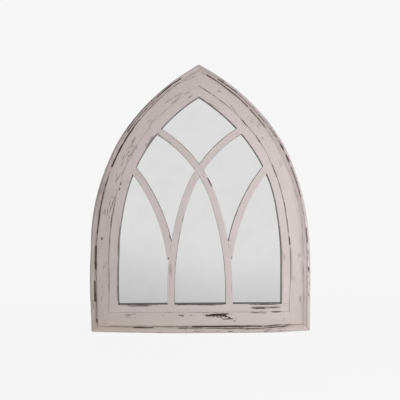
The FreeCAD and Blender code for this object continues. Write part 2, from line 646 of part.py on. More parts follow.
os.makedirs("parts", exist_ok=True)
for label, thing in nodes.items():
    thing.Shape.exportStep(f"parts/{label}.step")
    print(f"{label}: {len(thing.Shape.Solids)} solids, {thing.Shape.Volume:.0f} cubic mm")
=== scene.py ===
import math
import random

import bmesh
import bpy
import numpy as np
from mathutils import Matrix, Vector


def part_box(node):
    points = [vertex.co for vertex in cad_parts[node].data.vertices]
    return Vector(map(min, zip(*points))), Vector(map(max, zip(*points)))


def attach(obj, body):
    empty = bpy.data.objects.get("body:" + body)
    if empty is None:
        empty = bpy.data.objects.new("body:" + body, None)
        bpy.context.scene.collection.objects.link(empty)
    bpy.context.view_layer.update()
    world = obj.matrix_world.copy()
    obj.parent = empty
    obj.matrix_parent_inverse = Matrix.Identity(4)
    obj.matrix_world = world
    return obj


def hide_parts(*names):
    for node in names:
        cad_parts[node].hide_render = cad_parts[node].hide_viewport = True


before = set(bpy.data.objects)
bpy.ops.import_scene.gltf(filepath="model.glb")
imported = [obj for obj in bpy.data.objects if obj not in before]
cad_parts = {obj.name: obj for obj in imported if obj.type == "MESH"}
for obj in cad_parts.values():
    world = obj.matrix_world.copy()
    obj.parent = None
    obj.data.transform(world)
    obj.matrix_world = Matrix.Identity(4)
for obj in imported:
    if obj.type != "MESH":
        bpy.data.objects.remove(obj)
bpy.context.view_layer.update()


# Main frame, the wide flat band. Two stiles and two arch rails are sawn from 30 mm softwood and dowelled end
# to end, with a bottom rail glued between the stiles. A pale pink-cream paint is rubbed back along the grain
# to dark wood, and has yellowed a little at the foot, most of all at the left corner.
OUTER_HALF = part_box("bottom_edge_strip")[1].x
STRIP_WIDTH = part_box("bottom_edge_strip")[1].z
RAIL_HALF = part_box("bottom_rail")[1].x
RAIL_INNER = OUTER_HALF - RAIL_HALF
RAIL_FRONT = -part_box("bottom_rail")[0].y
STILE_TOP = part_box("left_stile")[1].z
SPRING_HEIGHT = 0.243
ARCH_RADIUS = 0.565
ARC_CENTRE = ARCH_RADIUS - OUTER_HALF


def side_point(along, inset):
    """Point of the left side, by the way up its outer edge and the inset from that edge."""
    angle = np.maximum(along - SPRING_HEIGHT, 0.0) / ARCH_RADIUS
    reach = ARCH_RADIUS - inset
    return ARC_CENTRE - reach * np.cos(angle), np.minimum(along, SPRING_HEIGHT) + reach * np.sin(angle)


def side_along(height, inset):
    """Way up the outer edge at which a line of this inset reaches a height."""
    rise = np.maximum(height - SPRING_HEIGHT, 0.0) / (ARCH_RADIUS - inset)
    return np.minimum(height, SPRING_HEIGHT) + ARCH_RADIUS * np.arcsin(np.minimum(rise, 1.0))


def arch_middle(inset):
    """Way up the outer edge at which a line of this inset meets the middle of the arch."""
    return SPRING_HEIGHT + ARCH_RADIUS * np.arccos(ARC_CENTRE / (ARCH_RADIUS - inset))


def fade(value, low, high):
    """Smooth rise from 0 at low to 1 at high."""
    share = np.clip((value - low) / (high - low), 0.0, 1.0)
    return share * share * (3.0 - 2.0 * share)


INNER_WIDTH = 0.026
DRIFT_END = RAIL_INNER + 2.4 * INNER_WIDTH
DRIFT_SPREAD = 0.014
DRIFT_DEPTHS = (0.003, 0.016)
# How far the lines of a side stand in from true, in mm: the way up the outer edge, then the shift of that
# edge, of the crease of the edge strip, of the groove round the inner frame and of the edge at the glass.
LEFT_DRIFT = [
    (0, 5.6, 3.2, 0, 0),
    (40, 3.9, 1.5, 0, 0),
    (80, 2.0, 0.8, 0.4, -1.0),
    (115, 0.8, 0.3, 0.8, -2.4),
    (185, 0.8, 0, -0.3, -1.7),
    (220, 3.3, 0, 0.6, 0.5),
    (250, 4.6, 1.2, 3.0, 1.2),
    (300, 5.6, 4.3, 4.4, 2.7),
    (340, 5.7, 3.8, 3.8, 3.5),
    (400, 7.4, 2.4, 3.0, 2.2),
    (450, 5.6, 0.7, 2.0, 0.5),
    (500, 2.8, 0, -0.8, -0.6),
    (560, 2.0, -1.1, -1.4, -1.4),
    (620, 2.5, -1.4, -1.6, -1.9),
    (700, 3.8, -1.0, -1.6, -1.4),
    (760, 4.0, -1.2, 0, -1.2),
]
RIGHT_DRIFT = [
    (0, 2.4, 1.5, 3.0, 0),
    (60, 1.5, 1.0, 5.2, 0.5),
    (100, 0.2, 0.5, 4.6, 0.8),
    (135, 0, 0, 1.9, 0.2),
    (220, 0, 0.3, 1.7, -0.2),
    (250, 1.8, 1.3, 3.8, 1.4),
    (280, 3.5, 1.6, 6.3, 2.4),
    (340, 4.0, 0.5, 6.1, 2.5),
    (400, 4.4, 0.2, 4.0, 0),
    (440, 3.5, 0.5, 2.7, -1.7),
    (490, 0.5, 0.2, 1.2, -2.0),
    (540, -0.6, -2.1, -1.2, -1.9),
    (600, -0.2, -1.6, -1.3, -1.4),
    (650, 0.6, -1.2, 0, -0.8),
    (700, 1.5, -2.1, -1.2, -0.4),
    (760, 2.1, -1.4, 1.2, 0.2),
]


def side_drift(drifts, along, inset):
    """How far a line of one side stands in from true, with the corners of the list above smoothed out."""
    rows = np.array(drifts).T / 1000.0
    lines = [0.0, STRIP_WIDTH, RAIL_INNER, RAIL_INNER + INNER_WIDTH, DRIFT_END]
    total = np.zeros(np.shape(inset))
    for number, shifts in enumerate(rows[1:]):
        level = 0.5 * np.interp(along, rows[0], shifts)
        for step in (-DRIFT_SPREAD, DRIFT_SPREAD):
            level = level + 0.25 * np.interp(along + step, rows[0], shifts)
        total = total + level * np.interp(inset, lines, np.eye(len(lines))[number])
    return total


FOOT_LIFT = 0.0056
LEFT_LIFT_START = 0.07
LEFT_LIFT_TOP = 0.042
RIGHT_LIFT_START = 0.2
RIGHT_LIFT_TOP = 0.075
RIDGE_LIFT = 0.0016
RIDGE_START = 0.17
RIDGE_FULL = 0.21
RIDGE_TOP = 0.057
SIDE_BLEND = 0.04
MIDDLE_FADE = 0.02


def out_of_true(x, z, deep):
    """Places in the frame as it left the bench: its foot bows up at the corners, its front lines wander."""
    rise = np.maximum(z - SPRING_HEIGHT, 0.0)
    run = np.abs(x) + ARC_CENTRE
    reach = np.hypot(run, rise)
    inset = np.where(rise > 0.0, ARCH_RADIUS - reach, OUTER_HALF - np.abs(x))
    along = np.where(rise > 0.0, SPRING_HEIGHT + ARCH_RADIUS * np.arctan2(rise, run), z)
    leftness = fade(-x, -SIDE_BLEND, SIDE_BLEND)
    drift = leftness * side_drift(LEFT_DRIFT, along, inset)
    drift = drift + (1.0 - leftness) * side_drift(RIGHT_DRIFT, along, inset)
    drift = drift * fade(deep, *DRIFT_DEPTHS)
    left_lift = np.clip((-x - LEFT_LIFT_START) / (OUTER_HALF - LEFT_LIFT_START), 0.0, 1.0) ** 1.2
    left_lift = left_lift * (1.0 - fade(z, 0.0, LEFT_LIFT_TOP))
    right_lift = np.clip((x - RIGHT_LIFT_START) / (OUTER_HALF - RIGHT_LIFT_START), 0.0, 1.0)
    right_lift = right_lift * (1.0 - fade(z, STRIP_WIDTH, RIGHT_LIFT_TOP))
    ridge = fade(x, RIDGE_START, RIDGE_FULL) * fade(z, 0.0, STRIP_WIDTH)
    ridge = ridge * (1.0 - fade(z, STRIP_WIDTH, RIDGE_TOP))
    moved_x = x - np.sign(x) * drift * run / reach * fade(np.abs(x), 0.0, MIDDLE_FADE)
    return moved_x, z - drift * rise / reach + FOOT_LIFT * (left_lift + right_lift) + RIDGE_LIFT * ridge


def wander(along, seed, reach):
    """Slow drift between about -1 and 1 along a piece, with swells about as long as reach."""
    draw = random.Random(seed)
    total = np.zeros_like(along)
    for pace in (1.0, 1.83, 3.1, 5.7):
        total += np.sin(2.0 * math.pi * (along * pace / reach + draw.random())) / pace
    return total / 2.0


def nicks(along, seed, spacing):
    """Small dents along an arris, up to 1 deep, at uneven places."""
    draw = random.Random(seed)
    dents = np.zeros_like(along)
    place = along.min()
    while place < along.max():
        place += spacing * draw.uniform(0.3, 1.7)
        dents += draw.uniform(0.2, 1.0) * np.exp(-(((along - place) / draw.uniform(0.0015, 0.005)) ** 2))
    return np.minimum(dents, 1.0)


FACE_STEP = 0.0012
ARRIS_ROOM = 0.003


def board_section(near, far, back, front, stain_and_shade_near, stain_and_shade_far):
    """Ring of points round a sawn board: across, depth, two pulls of the arris, which arris, how dark."""
    turns = np.radians(np.linspace(0.0, 90.0, 5))
    sides = np.linspace(back, front - ARRIS_ROOM, 6)
    face = np.linspace(near + ARRIS_ROOM, far - ARRIS_ROOM, max(3, round((far - near) / FACE_STEP)))
    # stain_and_shade_near and stain_and_shade_far darken the side walls: dark wood, and partly painted shade
    # where a wall stands in the groove or faces across the glass.
    ring = [(near, depth, 0.0, 0.0, 0, stain_and_shade_near) for depth in sides]
    ring += [(near, front, 1.0 - math.cos(t), math.sin(t) - 1.0, 1, stain_and_shade_near * (t < 0.3)) for t in turns]
    ring += [(across, front, 0.0, 0.0, 0, 0.0) for across in face]
    ring += [(far, front, math.sin(t) - 1.0, math.cos(t) - 1.0, 2, stain_and_shade_far * (t > 1.3)) for t in turns]
    ring += [(far, depth, 0.0, 0.0, 0, stain_and_shade_far) for depth in sides[::-1]]
    ring += [(across, back, 0.0, 0.0, 0, 0.0) for across in np.linspace(far, near, 6)[1:-1]]
    return np.array(ring)


def rub_marks(along, across, rubs, place):
    """Paint rubbed through, and paint only scuffed grey, which has a negative strength. A mark runs from one
    place to another at an across, or from one across to another, and has a half width, all in mm."""
    rubbed = np.zeros_like(along)
    scuffed = np.zeros_like(along)
    for first, last, centre, half, strength in rubs:
        start, stop = centre if isinstance(centre, tuple) else (centre, centre)
        low = float(place(np.float64(first) / 1000.0, start / 1000.0))
        high = float(place(np.float64(last) / 1000.0, stop / 1000.0))
        taper = min(0.01, 0.35 * (high - low))
        body = fade(along, low, low + taper) * (1.0 - fade(along, high - taper, high))
        line = np.interp(along, [low, high], [start / 1000.0, stop / 1000.0])
        width = half / 1000.0 * (0.55 + 0.45 * body)
        mark = strength * body * np.exp(-(((across - line) / width) ** 2))
        rubbed = np.maximum(rubbed, mark)
        scuffed = np.maximum(scuffed, -mark)
    return rubbed, scuffed


def scuffs(first, last, low, high, count, strength, seed):
    """A patch of short fine scratches along the grain, in the same form as the marks above."""
    draw = random.Random(seed)
    marks = []
    for number in range(count):
        across = low + (high - low) * (number + draw.random()) / count
        length = min(draw.uniform(6.0, 26.0), last - first)
        begin = draw.uniform(first, last - length)
        line = (across, across + draw.uniform(-2.0, 2.0))
        half = draw.uniform(0.5, 0.9)
        marks.append((begin, begin + length, line, half, -strength * draw.uniform(0.7, 1.1)))
    return marks


def square_cut(place):
    """Cut square across a piece, at one place along it."""
    return lambda across: np.full(np.shape(across), place)


def side_cut(height):
    """Level cut across a side, at one height."""
    return lambda inset: side_along(height, inset)


def smooth_mesh(shape, mesh, sharp_angle):
    """Fills a mesh from a shape, smooth except at its sharp edges."""
    bmesh.ops.recalc_face_normals(shape, faces=shape.faces)
    for polygon in shape.faces:
        polygon.smooth = True
    shape.to_mesh(mesh)
    shape.free()
    mesh.set_sharp_from_angle(angle=math.radians(sharp_angle))


def fixed_piece(name, mesh, material, node):
    """A new piece, fixed to the frame, that stands for a CAD node."""
    piece = bpy.data.objects.new(name, mesh)
    bpy.context.scene.collection.objects.link(piece)
    mesh.materials.clear()
    mesh.materials.append(material)
    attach(piece, "frame")
    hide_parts(node)


RING_STEP = 0.0022
END_STEP = 0.0008
WEAR_REACH = 0.003
NICK_DEPTH = 0.001
LEAST_EASE = 0.00004
MOST_EASE = 0.0026
SQUARE_FADE = 0.006
FACE_WAVE = 0.0002
SEAM_DEPTH = 0.0003
YELLOWED_HEIGHT = 0.06


def sawn_piece(
    name, node, point, section, cuts, seed, hand, rubs, place, square=(), lap=None, ease=0.0011,
    grime_and_shade=0.0, crease=(0.0, 0.003), seam=(0.0, 0.0),
):
    """Painted wood swept along a line, its ends cut at cuts, its front arrises eased unevenly by hand."""
    across, depth, pull_across, pull_depth, arris, stain_and_shade = section.T
    front, back = depth.max(), depth.min()
    girth = np.concatenate([[0.0], np.cumsum(np.hypot(np.diff(across), np.diff(depth)))])
    gaps = np.hypot(across[:, None] - across[arris > 0], depth[:, None] - depth[arris > 0])
    closeness = np.exp(-gaps.min(axis=1) / WEAR_REACH)
    runs = list(zip(cuts[:-1], cuts[1:]))
    part, share = [], []
    for number, (begin, finish) in enumerate(runs):
        run = np.mean(np.abs(finish(across) - begin(across)))
        tip = min(0.2, END_STEP / run)
        middle = np.linspace(0.0, 1.0, max(3, int(run / RING_STEP)) + 1)
        middle = middle[(middle > tip) & (middle < 1.0 - tip)]
        stops = np.unique(np.concatenate([[0.0, tip], middle, [1.0 - tip, 1.0]]))
        share += list(stops)
        part += [number] * len(stops)
    part = np.array(part)[:, None]
    share = np.array(share)[:, None]

    def way_of(wide):
        """Way along the piece of every point of its rings."""
        way = np.zeros(wide.shape)
        for number, (begin, finish) in enumerate(runs):
            row = part[:, 0] == number
            way[row] = begin(wide[row]) * (1.0 - share[row]) + finish(wide[row]) * share[row]
        return way

    wide = np.repeat(across[None, :], len(part), axis=0)
    way = way_of(wide)
    worn = np.zeros(wide.shape)
    for side in (1, 2):
        lift = ease * (1.0 + 0.45 * wander(way, seed + side, 0.11))
        lift = lift + NICK_DEPTH * nicks(way, seed + 7 * side, 0.05)
        for corner, low, high in square:
            if corner == side:
                flat = fade(way, low - SQUARE_FADE, low) * (1.0 - fade(way, high, high + SQUARE_FADE))
                lift = lift * (1.0 - flat)
        worn += np.where(arris == side, np.clip(lift, LEAST_EASE, MOST_EASE), 0.0)
    wide = wide + worn * pull_across
    way = way_of(wide)
    deep = depth + worn * pull_depth
    face = fade(depth, front - 0.007, front - 0.001) * np.ones(wide.shape)
    deep = deep + face * (FACE_WAVE * wander(way + 2.0 * wide, seed + 31, 0.17) - FACE_WAVE)
    seams = seam[0] * ((share == 0.0) & (part == 0)) + seam[1] * ((share == 1.0) & (part == len(runs) - 1))
    deep = deep - face * (seams > 0.0) * SEAM_DEPTH
    if lap:
        keeps_front, level = lap
        halved = np.maximum(deep, level) if keeps_front else np.minimum(deep, level)
        deep = np.where(part == 1, halved, deep)
    x, z = point(way, wide)
    x, z = out_of_true(hand * x, z, deep)

    rings, count = wide.shape
    index = np.arange(rings * count).reshape(rings, count)
    turned = np.roll(index, -1, axis=1)
    quads = np.stack([index[:-1], turned[:-1], turned[1:], index[1:]], axis=-1).reshape(-1, 4)
    mesh = bpy.data.meshes.new(name)
    places = np.stack([x, -deep, z], axis=-1).reshape(-1, 3)
    mesh.from_pydata(places.tolist(), [], quads.tolist() + [index[0].tolist(), index[-1].tolist()])
    grain = np.stack([way, girth + 0.0 * way, np.full(way.shape, seed * 0.37)], axis=-1)
    mesh.attributes.new("grain", "FLOAT_VECTOR", "POINT").data.foreach_set("vector", grain.ravel())
    rubbed, scuffed = rub_marks(way, wide, rubs, place)
    marks = {
        "rub": rubbed,
        "scuff": scuffed,
        "edge": closeness * (0.75 + 0.4 * wander(way, seed + 53, 0.09)),
        # stain_and_shade: dark wood on side walls and dark joints at the seams, together with painted shade
        # on walls in the groove and at the glass.
        "stain_and_shade": np.maximum(stain_and_shade, seams * face),
        "bare": (depth <= back + 1e-6) + 0.0 * way,
        # grime_and_shade: a level set for each piece, painted shade that makes the left side darker as if
        # further from the lamp, and a band along the crease, partly dirt and partly painted shade.
        "grime_and_shade": grime_and_shade + crease[0] * np.exp(-(((wide - STRIP_WIDTH) / crease[1]) ** 2)),
        "yellowed": (1.0 - fade(z, 0.0, YELLOWED_HEIGHT)) * (0.35 + 0.65 * fade(-x, -0.1, 0.3)),
    }
    for mark, values in marks.items():
        mesh.attributes.new(mark, "FLOAT", "POINT").data.foreach_set("value", values.ravel())
    shape = bmesh.new()
    shape.from_mesh(mesh)
    bmesh.ops.remove_doubles(shape, verts=shape.verts, dist=1e-6)
    smooth_mesh(shape, mesh, 38.0)
    fixed_piece(name, mesh, RUBBED_PAINT, node)


def colour(red, green, blue):
    """Linear colour of an sRGB value from 0 to 255."""
    channels = [v / 255.0 for v in (red, green, blue)]
    return tuple(v / 12.92 if v <= 0.04045 else ((v + 0.055) / 1.055) ** 2.4 for v in channels) + (1.0,)


def add_node(tree, kind, inputs=(), **settings):
    """Adds a shader node, sets its properties, and fills its inputs with values or links."""
    made = tree.nodes.new(f"ShaderNode{kind}")
    for key, value in settings.items():
        setattr(made, key, value)
    for key, value in dict(inputs).items():
        if isinstance(value, bpy.types.NodeSocket):
            tree.links.new(value, made.inputs[key])
        else:
            made.inputs[key].default_value = value
    return made


def figure(tree, operation, *values):
    """Result of a Math node."""
    return add_node(tree, "Math", enumerate(values), operation=operation).outputs[0]


def times(tree, first, second):
    """Product of two values."""
    return figure(tree, "MULTIPLY", first, second)


def mixed(tree, share, first, second):
    """Colour part way from first to second."""
    inputs = {"Factor": share, 6: first, 7: second}
    return add_node(tree, "Mix", inputs, data_type="RGBA", clamp_factor=True).outputs[2]


def smooth_step(tree, value, low, high):
    """Smooth rise of a value from 0 at low to 1 at high."""
    inputs = {"Value": value, "From Min": low, "From Max": high}
    return add_node(tree, "MapRange", inputs, interpolation_type="SMOOTHSTEP").outputs["Result"]


def stretched_noise(tree, vector, stretch, detail, roughness):
    """Noise drawn out along the grain."""
    scaled = add_node(tree, "VectorMath", {0: vector, 1: stretch}, operation="MULTIPLY")
    inputs = {"Vector": scaled.outputs[0], "Scale": 1.0, "Detail": detail, "Roughness": roughness}
    return add_node(tree, "TexNoise", inputs).outputs["Fac"]


def new_material(name):
    """Empty node material with its shader, ready for colours."""
    material = bpy.data.materials.new(name)
    material.use_nodes = True
    tree = material.node_tree
    return material, tree, tree.nodes["Principled BSDF"]


def finish_surface(tree, shader, tone, roughness, strength, distance, height):
    """Leads a colour, a roughness and a relief to the shader."""
    relief = add_node(tree, "Bump", {"Strength": strength, "Distance": distance, "Height": height})
    tree.links.new(tone, shader.inputs["Base Color"])
    tree.links.new(roughness, shader.inputs["Roughness"])
    tree.links.new(relief.outputs["Normal"], shader.inputs["Normal"])


RUBBED_PAINT, paint, paint_shader = new_material("rubbed_paint")
along_grain = add_node(paint, "Attribute", attribute_name="grain").outputs["Vector"]
mark = {}
for mark_name in ("rub", "scuff", "edge", "stain_and_shade", "bare", "grime_and_shade", "yellowed"):
    mark[mark_name] = add_node(paint, "Attribute", attribute_name=mark_name).outputs["Fac"]
streaks = stretched_noise(paint, along_grain, (24.0, 420.0, 1.0), 6.0, 0.62)
hairs = stretched_noise(paint, along_grain, (60.0, 1500.0, 1.0), 4.0, 0.6)
clouds = stretched_noise(paint, along_grain, (9.0, 40.0, 1.0), 3.0, 0.5)
ragged = figure(paint, "MULTIPLY_ADD", figure(paint, "SUBTRACT", streaks, 0.5), 1.5, -0.47)
ragged = figure(paint, "ADD", ragged, times(paint, figure(paint, "SUBTRACT", hairs, 0.5), 0.7))
worn_edge = times(paint, mark["edge"], 0.22)
wear = figure(paint, "ADD", figure(paint, "ADD", mark["rub"], worn_edge), ragged)
through = smooth_step(paint, wear, 0.0, 0.26)
thinned = smooth_step(paint, wear, -0.2, 0.08)
# Grime and painted shade: grime_and_shade turns the paint a streaky brown, most on the left pieces and along
# the crease by the edge strip.
soiled_and_shaded = times(paint, mark["grime_and_shade"], smooth_step(paint, streaks, 0.2, 0.7))
paint_tone = mixed(paint, smooth_step(paint, clouds, 0.3, 0.7), colour(216, 204, 203), colour(209, 198, 195))
scratched = times(paint, mark["scuff"], smooth_step(paint, streaks, 0.2, 0.6))
for share, tone in (
    (times(paint, mark["yellowed"], 0.4), colour(228, 206, 184)),
    (times(paint, hairs, 0.16), colour(176, 162, 156)),
    (soiled_and_shaded, colour(138, 121, 106)),
    (scratched, colour(106, 99, 98)),
    (times(paint, thinned, 0.62), colour(136, 126, 122)),
):
    paint_tone = mixed(paint, share, paint_tone, tone)
wood_tone = mixed(paint, smooth_step(paint, hairs, 0.35, 0.65), colour(44, 35, 35), colour(82, 66, 61))
skin = mixed(paint, through, paint_tone, wood_tone)
# Dark wood and painted shade: stain_and_shade turns the paint near black-brown on side walls and at joints.
skin = mixed(paint, times(paint, mark["stain_and_shade"], 0.93), skin, colour(58, 50, 47))
back_tone = mixed(paint, smooth_step(paint, streaks, 0.3, 0.7), colour(128, 98, 72), colour(168, 136, 104))
skin = mixed(paint, mark["bare"], skin, back_tone)
sheen = figure(paint, "MULTIPLY_ADD", through, 0.2, 0.55)
film = figure(paint, "SUBTRACT", times(paint, hairs, 0.35), times(paint, through, 0.6))
film = figure(paint, "ADD", film, times(paint, streaks, 0.3))
finish_surface(paint, paint_shader, skin, sheen, 0.45, 0.0006, film)
paint_shader.inputs["Specular IOR Level"].default_value = 0.35

# The inner wall of the main frame, down in the groove round the inner frame, is darkened a little: painted
# shade in the groove.
rail_section = board_section(STRIP_WIDTH, RAIL_INNER, 0.0, RAIL_FRONT, 0.0, 0.18)
# In the rub lists of the main and inner frames, the rows from about 52 to 58 mm across darken the groove
# round the inner frame: partly dirt in the joint, partly painted shade in the groove.
LEFT_STILE_RUBS = [
    (256, 269, 31.5, 2.4, 1.0),
    (244, 256, 31, 1.4, 0.6),
    *scuffs(308, 392, 38, 52, 13, 1.3, 3),
    *scuffs(316, 350, 27, 34, 4, 0.9, 5),
    (286, 330, 52.5, 1.3, 0.55),
    (226, 290, 52.5, 1.0, 0.3),
    (108, 206, 52.4, 1.2, 0.46),
    (174, 206, (35, 51), 0.9, 0.85),
    *scuffs(84, 138, 30, 38, 6, 0.85, 7),
    (172, 250, 18.6, 1.8, 0.85),
    (270, 398, 18.4, 1.1, 0.7),
    (24, 47, 18.5, 1.6, 0.7),
    (60, 398, 52.4, 1.0, -0.55),
]
RIGHT_STILE_RUBS = [
    *scuffs(78, 108, 24, 29, 6, 1.1, 9),
    *scuffs(202, 224, 27, 32, 5, 1.1, 10),
    *scuffs(120, 190, 26, 50, 5, 0.7, 8),
    (236, 270, 52.6, 1.7, 0.8),
    (138, 240, 51.7, 2.5, -0.7),
    (270, 398, 52.6, 1.1, 0.42),
]
LEFT_ARCH_RUBS = [
    *scuffs(415, 525, 36, 47, 14, 1.25, 11),
    *scuffs(505, 556, 35, 44, 7, 1.0, 12),
    *scuffs(405, 525, 48, 53, 9, 1.2, 13),
    *scuffs(562, 608, 46, 54, 6, 1.1, 14),
    (576, 594, 41, 1.2, -0.8),
    (604, 634, 52, 1.1, 0.45),
    (632, 648, 38, 1.4, -0.9),
    *scuffs(636, 668, 37, 45, 6, 1.0, 15),
    *scuffs(630, 676, 49, 54, 5, 0.9, 16),
    *scuffs(692, 714, 21, 28, 4, 0.6, 17),
    (455, 575, 18.5, 1.5, 1.0),
    (398, 440, 18.4, 1.3, 0.6),
    (560, 696, 18.2, 0.9, 0.56),
]
RIGHT_ARCH_RUBS = [
    (398, 468, 52.6, 1.1, 0.42),
    (522, 594, 52.6, 1.1, 0.38),
    (594, 650, 52.6, 1.0, 0.36),
    (650, 700, 52.6, 1.1, 0.46),
    (606, 634, (51, 45), 0.9, -0.9),
    *scuffs(556, 606, 25, 36, 6, 0.9, 18),
    *scuffs(446, 490, 27, 34, 5, 0.8, 19),
    (530, 542, 40, 1.4, -0.7),
    (618, 716, 18.3, 1.1, 0.9),
    (560, 622, 18.2, 1.1, 0.8),
    (662, 674, 35, 1.4, -0.9),
]
RAIL_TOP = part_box("bottom_rail")[1].z
# Where the groove round the inner frame is tight, by the way up the side.
TIGHT_GROOVE = {"left": [(0.0, RAIL_TOP), (0.71, 1.0)], "right": [(0.0, 0.13)]}
rail_foot = square_cut(STRIP_WIDTH)
rail_joint = side_cut(STILE_TOP)
# The grime_and_shade level and crease of each side darken its paint: the level is painted shade, set darker
# on the left as if further from the lamp, and the crease band is partly dirt and partly painted shade.
for side, hand, stile_rubs, arch_rubs, seed, grime_and_shade, crease, arch_crease, seam in (
    ("left", 1, LEFT_STILE_RUBS, LEFT_ARCH_RUBS, 11, 0.18, (0.9, 0.003), (0.3, 0.003), 0.4),
    ("right", -1, RIGHT_STILE_RUBS, RIGHT_ARCH_RUBS, 23, 0.07, (0.55, 0.0075), (0.4, 0.005), 0.08),
):
    tight = [(2, low, high) for low, high in TIGHT_GROOVE[side]]
    sawn_piece(
        f"{side}_stile_painted", f"{side}_stile", side_point, rail_section, [rail_foot, rail_joint],
        seed, hand, stile_rubs, side_along, tight, grime_and_shade=grime_and_shade, crease=crease, seam=(0.0, seam),
    )
    sawn_piece(
        f"{side}_arch_rail_painted", f"{side}_arch_rail", side_point, rail_section, [rail_joint, arch_middle],
        seed + 100, hand, arch_rubs, side_along, tight, grime_and_shade=0.06, crease=arch_crease, seam=(seam, 0.0),
    )


# Bottom rail of the main frame, the same board stock, cut square between the two stiles.
# It takes the hardest wear: one long patch is down to the wood, with smaller ones along its edges.
def level_point(along, height):
    """Point of a level piece, by its place along X and its height."""
    return along, height


def level_along(place, height):
    """A level piece is measured along X."""
    return place


BOTTOM_RAIL_RUBS = [
    (10, 70, (47.5, 49), 2.6, 1.25),
    (26, 84, (51.5, 52.5), 2.2, 1.15),
    (30, 80, (50, 46), 2.6, 1.2),
    (20, 76, (49.5, 49.5), 3.0, 1.2),
    (30, 42, (48, 43.5), 1.5, 1.1),
    (40, 54, (47.5, 41.5), 1.7, 1.1),
    (50, 64, (47, 39.5), 1.6, 1.05),
    (58, 80, (48.5, 42.5), 1.9, 1.1),
    (70, 88, (47, 39.5), 1.5, 1.0),
    (2, 26, 50, 1.3, 0.85),
    (54, 94, (38.5, 38), 1.6, 0.95),
    (72, 98, (43, 36.5), 1.5, 0.9),
    *scuffs(10, 110, 36, 54, 12, 0.7, 20),
    (91, 98, 33, 1.8, 0.95),
    (-66, -40, 49.5, 1.7, 1.0),
    (-56, -42, 47, 1.3, 0.8),
    (-31, -19, 49.4, 1.4, 0.75),
    (-22, -13, 47.5, 1.1, 0.62),
    (-109, -97, 50, 1.3, 0.75),
    *scuffs(-216, -188, 45, 53, 9, 0.95, 21),
    (-192, -176, 53.5, 1.0, -0.9),
    (-20, 60, 56.4, 0.9, 0.24),
    (132, 190, 54.5, 1.8, 0.62),
    *scuffs(130, 190, 51, 56.5, 6, 0.9, 22),
    (192, 230, 56, 0.8, 0.5),
    (206, 234, 31.5, 1.1, 0.75),
    *scuffs(196, 248, 29, 38, 5, 0.7, 23),
    (-30, 176, 18.3, 1.3, 1.0),
    (170, 232, 18.2, 1.0, 0.85),
    (-74, -26, 18.3, 1.2, 0.8),
    (-180, -70, 18.3, 1.1, 0.5),
]
# Its top wall at the groove is darkened a little: painted shade in the groove.
bottom_section = board_section(STRIP_WIDTH, RAIL_TOP, 0.0, RAIL_FRONT, 0.0, 0.1)
rail_ends = [square_cut(-RAIL_HALF), square_cut(RAIL_HALF)]
sawn_piece(
    "bottom_rail_painted", "bottom_rail", level_point, bottom_section, rail_ends,
    37, 1, BOTTOM_RAIL_RUBS, level_along, crease=(0.9, 0.003),
)


# Edge strip round the outside. Five lengths of moulding with a rounded outer corner, a flat lip and a cove,
# mitred at the bottom corners and the point of the arch, and pinned and glued to the main frame.
STRIP_FRONT = -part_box("bottom_edge_strip")[0].y
STRIP_ROUND = 0.004
STRIP_LIP = 0.0085
LIP_ROWS = (0.0046, 0.0053)
STRIP_EASE = 0.0008
COVE_RADIUS = 0.011
STRIP_JOINT = SPRING_HEIGHT + ARCH_RADIUS * math.radians(22.0)


def strip_section():
    """Ring of points round the moulding, in the same columns as a board's ring."""
    lip = np.array([STRIP_LIP, STRIP_FRONT])
    foot = np.array([STRIP_WIDTH, RAIL_FRONT])
    chord = foot - lip
    length = np.hypot(*chord)
    inward = np.array([-chord[1], chord[0]]) / length
    centre = (lip + foot) / 2.0 + inward * math.sqrt(COVE_RADIUS**2 - length**2 / 4.0)
    first = math.atan2(*(lip - centre)[::-1])
    last = math.atan2(*(foot - centre)[::-1])
    ring = [(0.0, depth, 0.0, 0.0, 0, 0.0) for depth in np.linspace(0.0, STRIP_FRONT - STRIP_ROUND, 8)[:-1]]
    for turn in np.radians(np.linspace(0.0, 90.0, 7)):
        across = STRIP_ROUND * (1.0 - math.cos(turn))
        depth = STRIP_FRONT - STRIP_ROUND * (1.0 - math.sin(turn))
        ring.append((across, depth, 0.5 * math.cos(turn), -0.5 * math.sin(turn), 1, 0.0))
    ring += [(across, STRIP_FRONT, 0.0, 0.0, 0, 0.0) for across in LIP_ROWS]
    for pull in ((-1.0, 0.0), (-0.45, -0.12), (-0.02, -0.42), (0.42, -0.9)):
        ring.append((STRIP_LIP, STRIP_FRONT, pull[0], pull[1], 2, 0.0))
    for turn in np.linspace(first + 0.34 * (last - first), last, 9):
        across, depth = centre + COVE_RADIUS * np.array([math.cos(turn), math.sin(turn)])
        ring.append((across, depth, 0.0, 0.0, 0, 0.0))
    ring += [(STRIP_WIDTH, depth, 0.0, 0.0, 0, 0.0) for depth in np.linspace(RAIL_FRONT, 0.0, 5)[1:]]
    ring += [(across, 0.0, 0.0, 0.0, 0, 0.0) for across in np.linspace(STRIP_WIDTH, 0.0, 5)[1:-1]]
    return np.array(ring)


def mitre(inset):
    """Way along a strip at which this inset leaves the mitre of a bottom corner."""
    return np.array(inset, float)


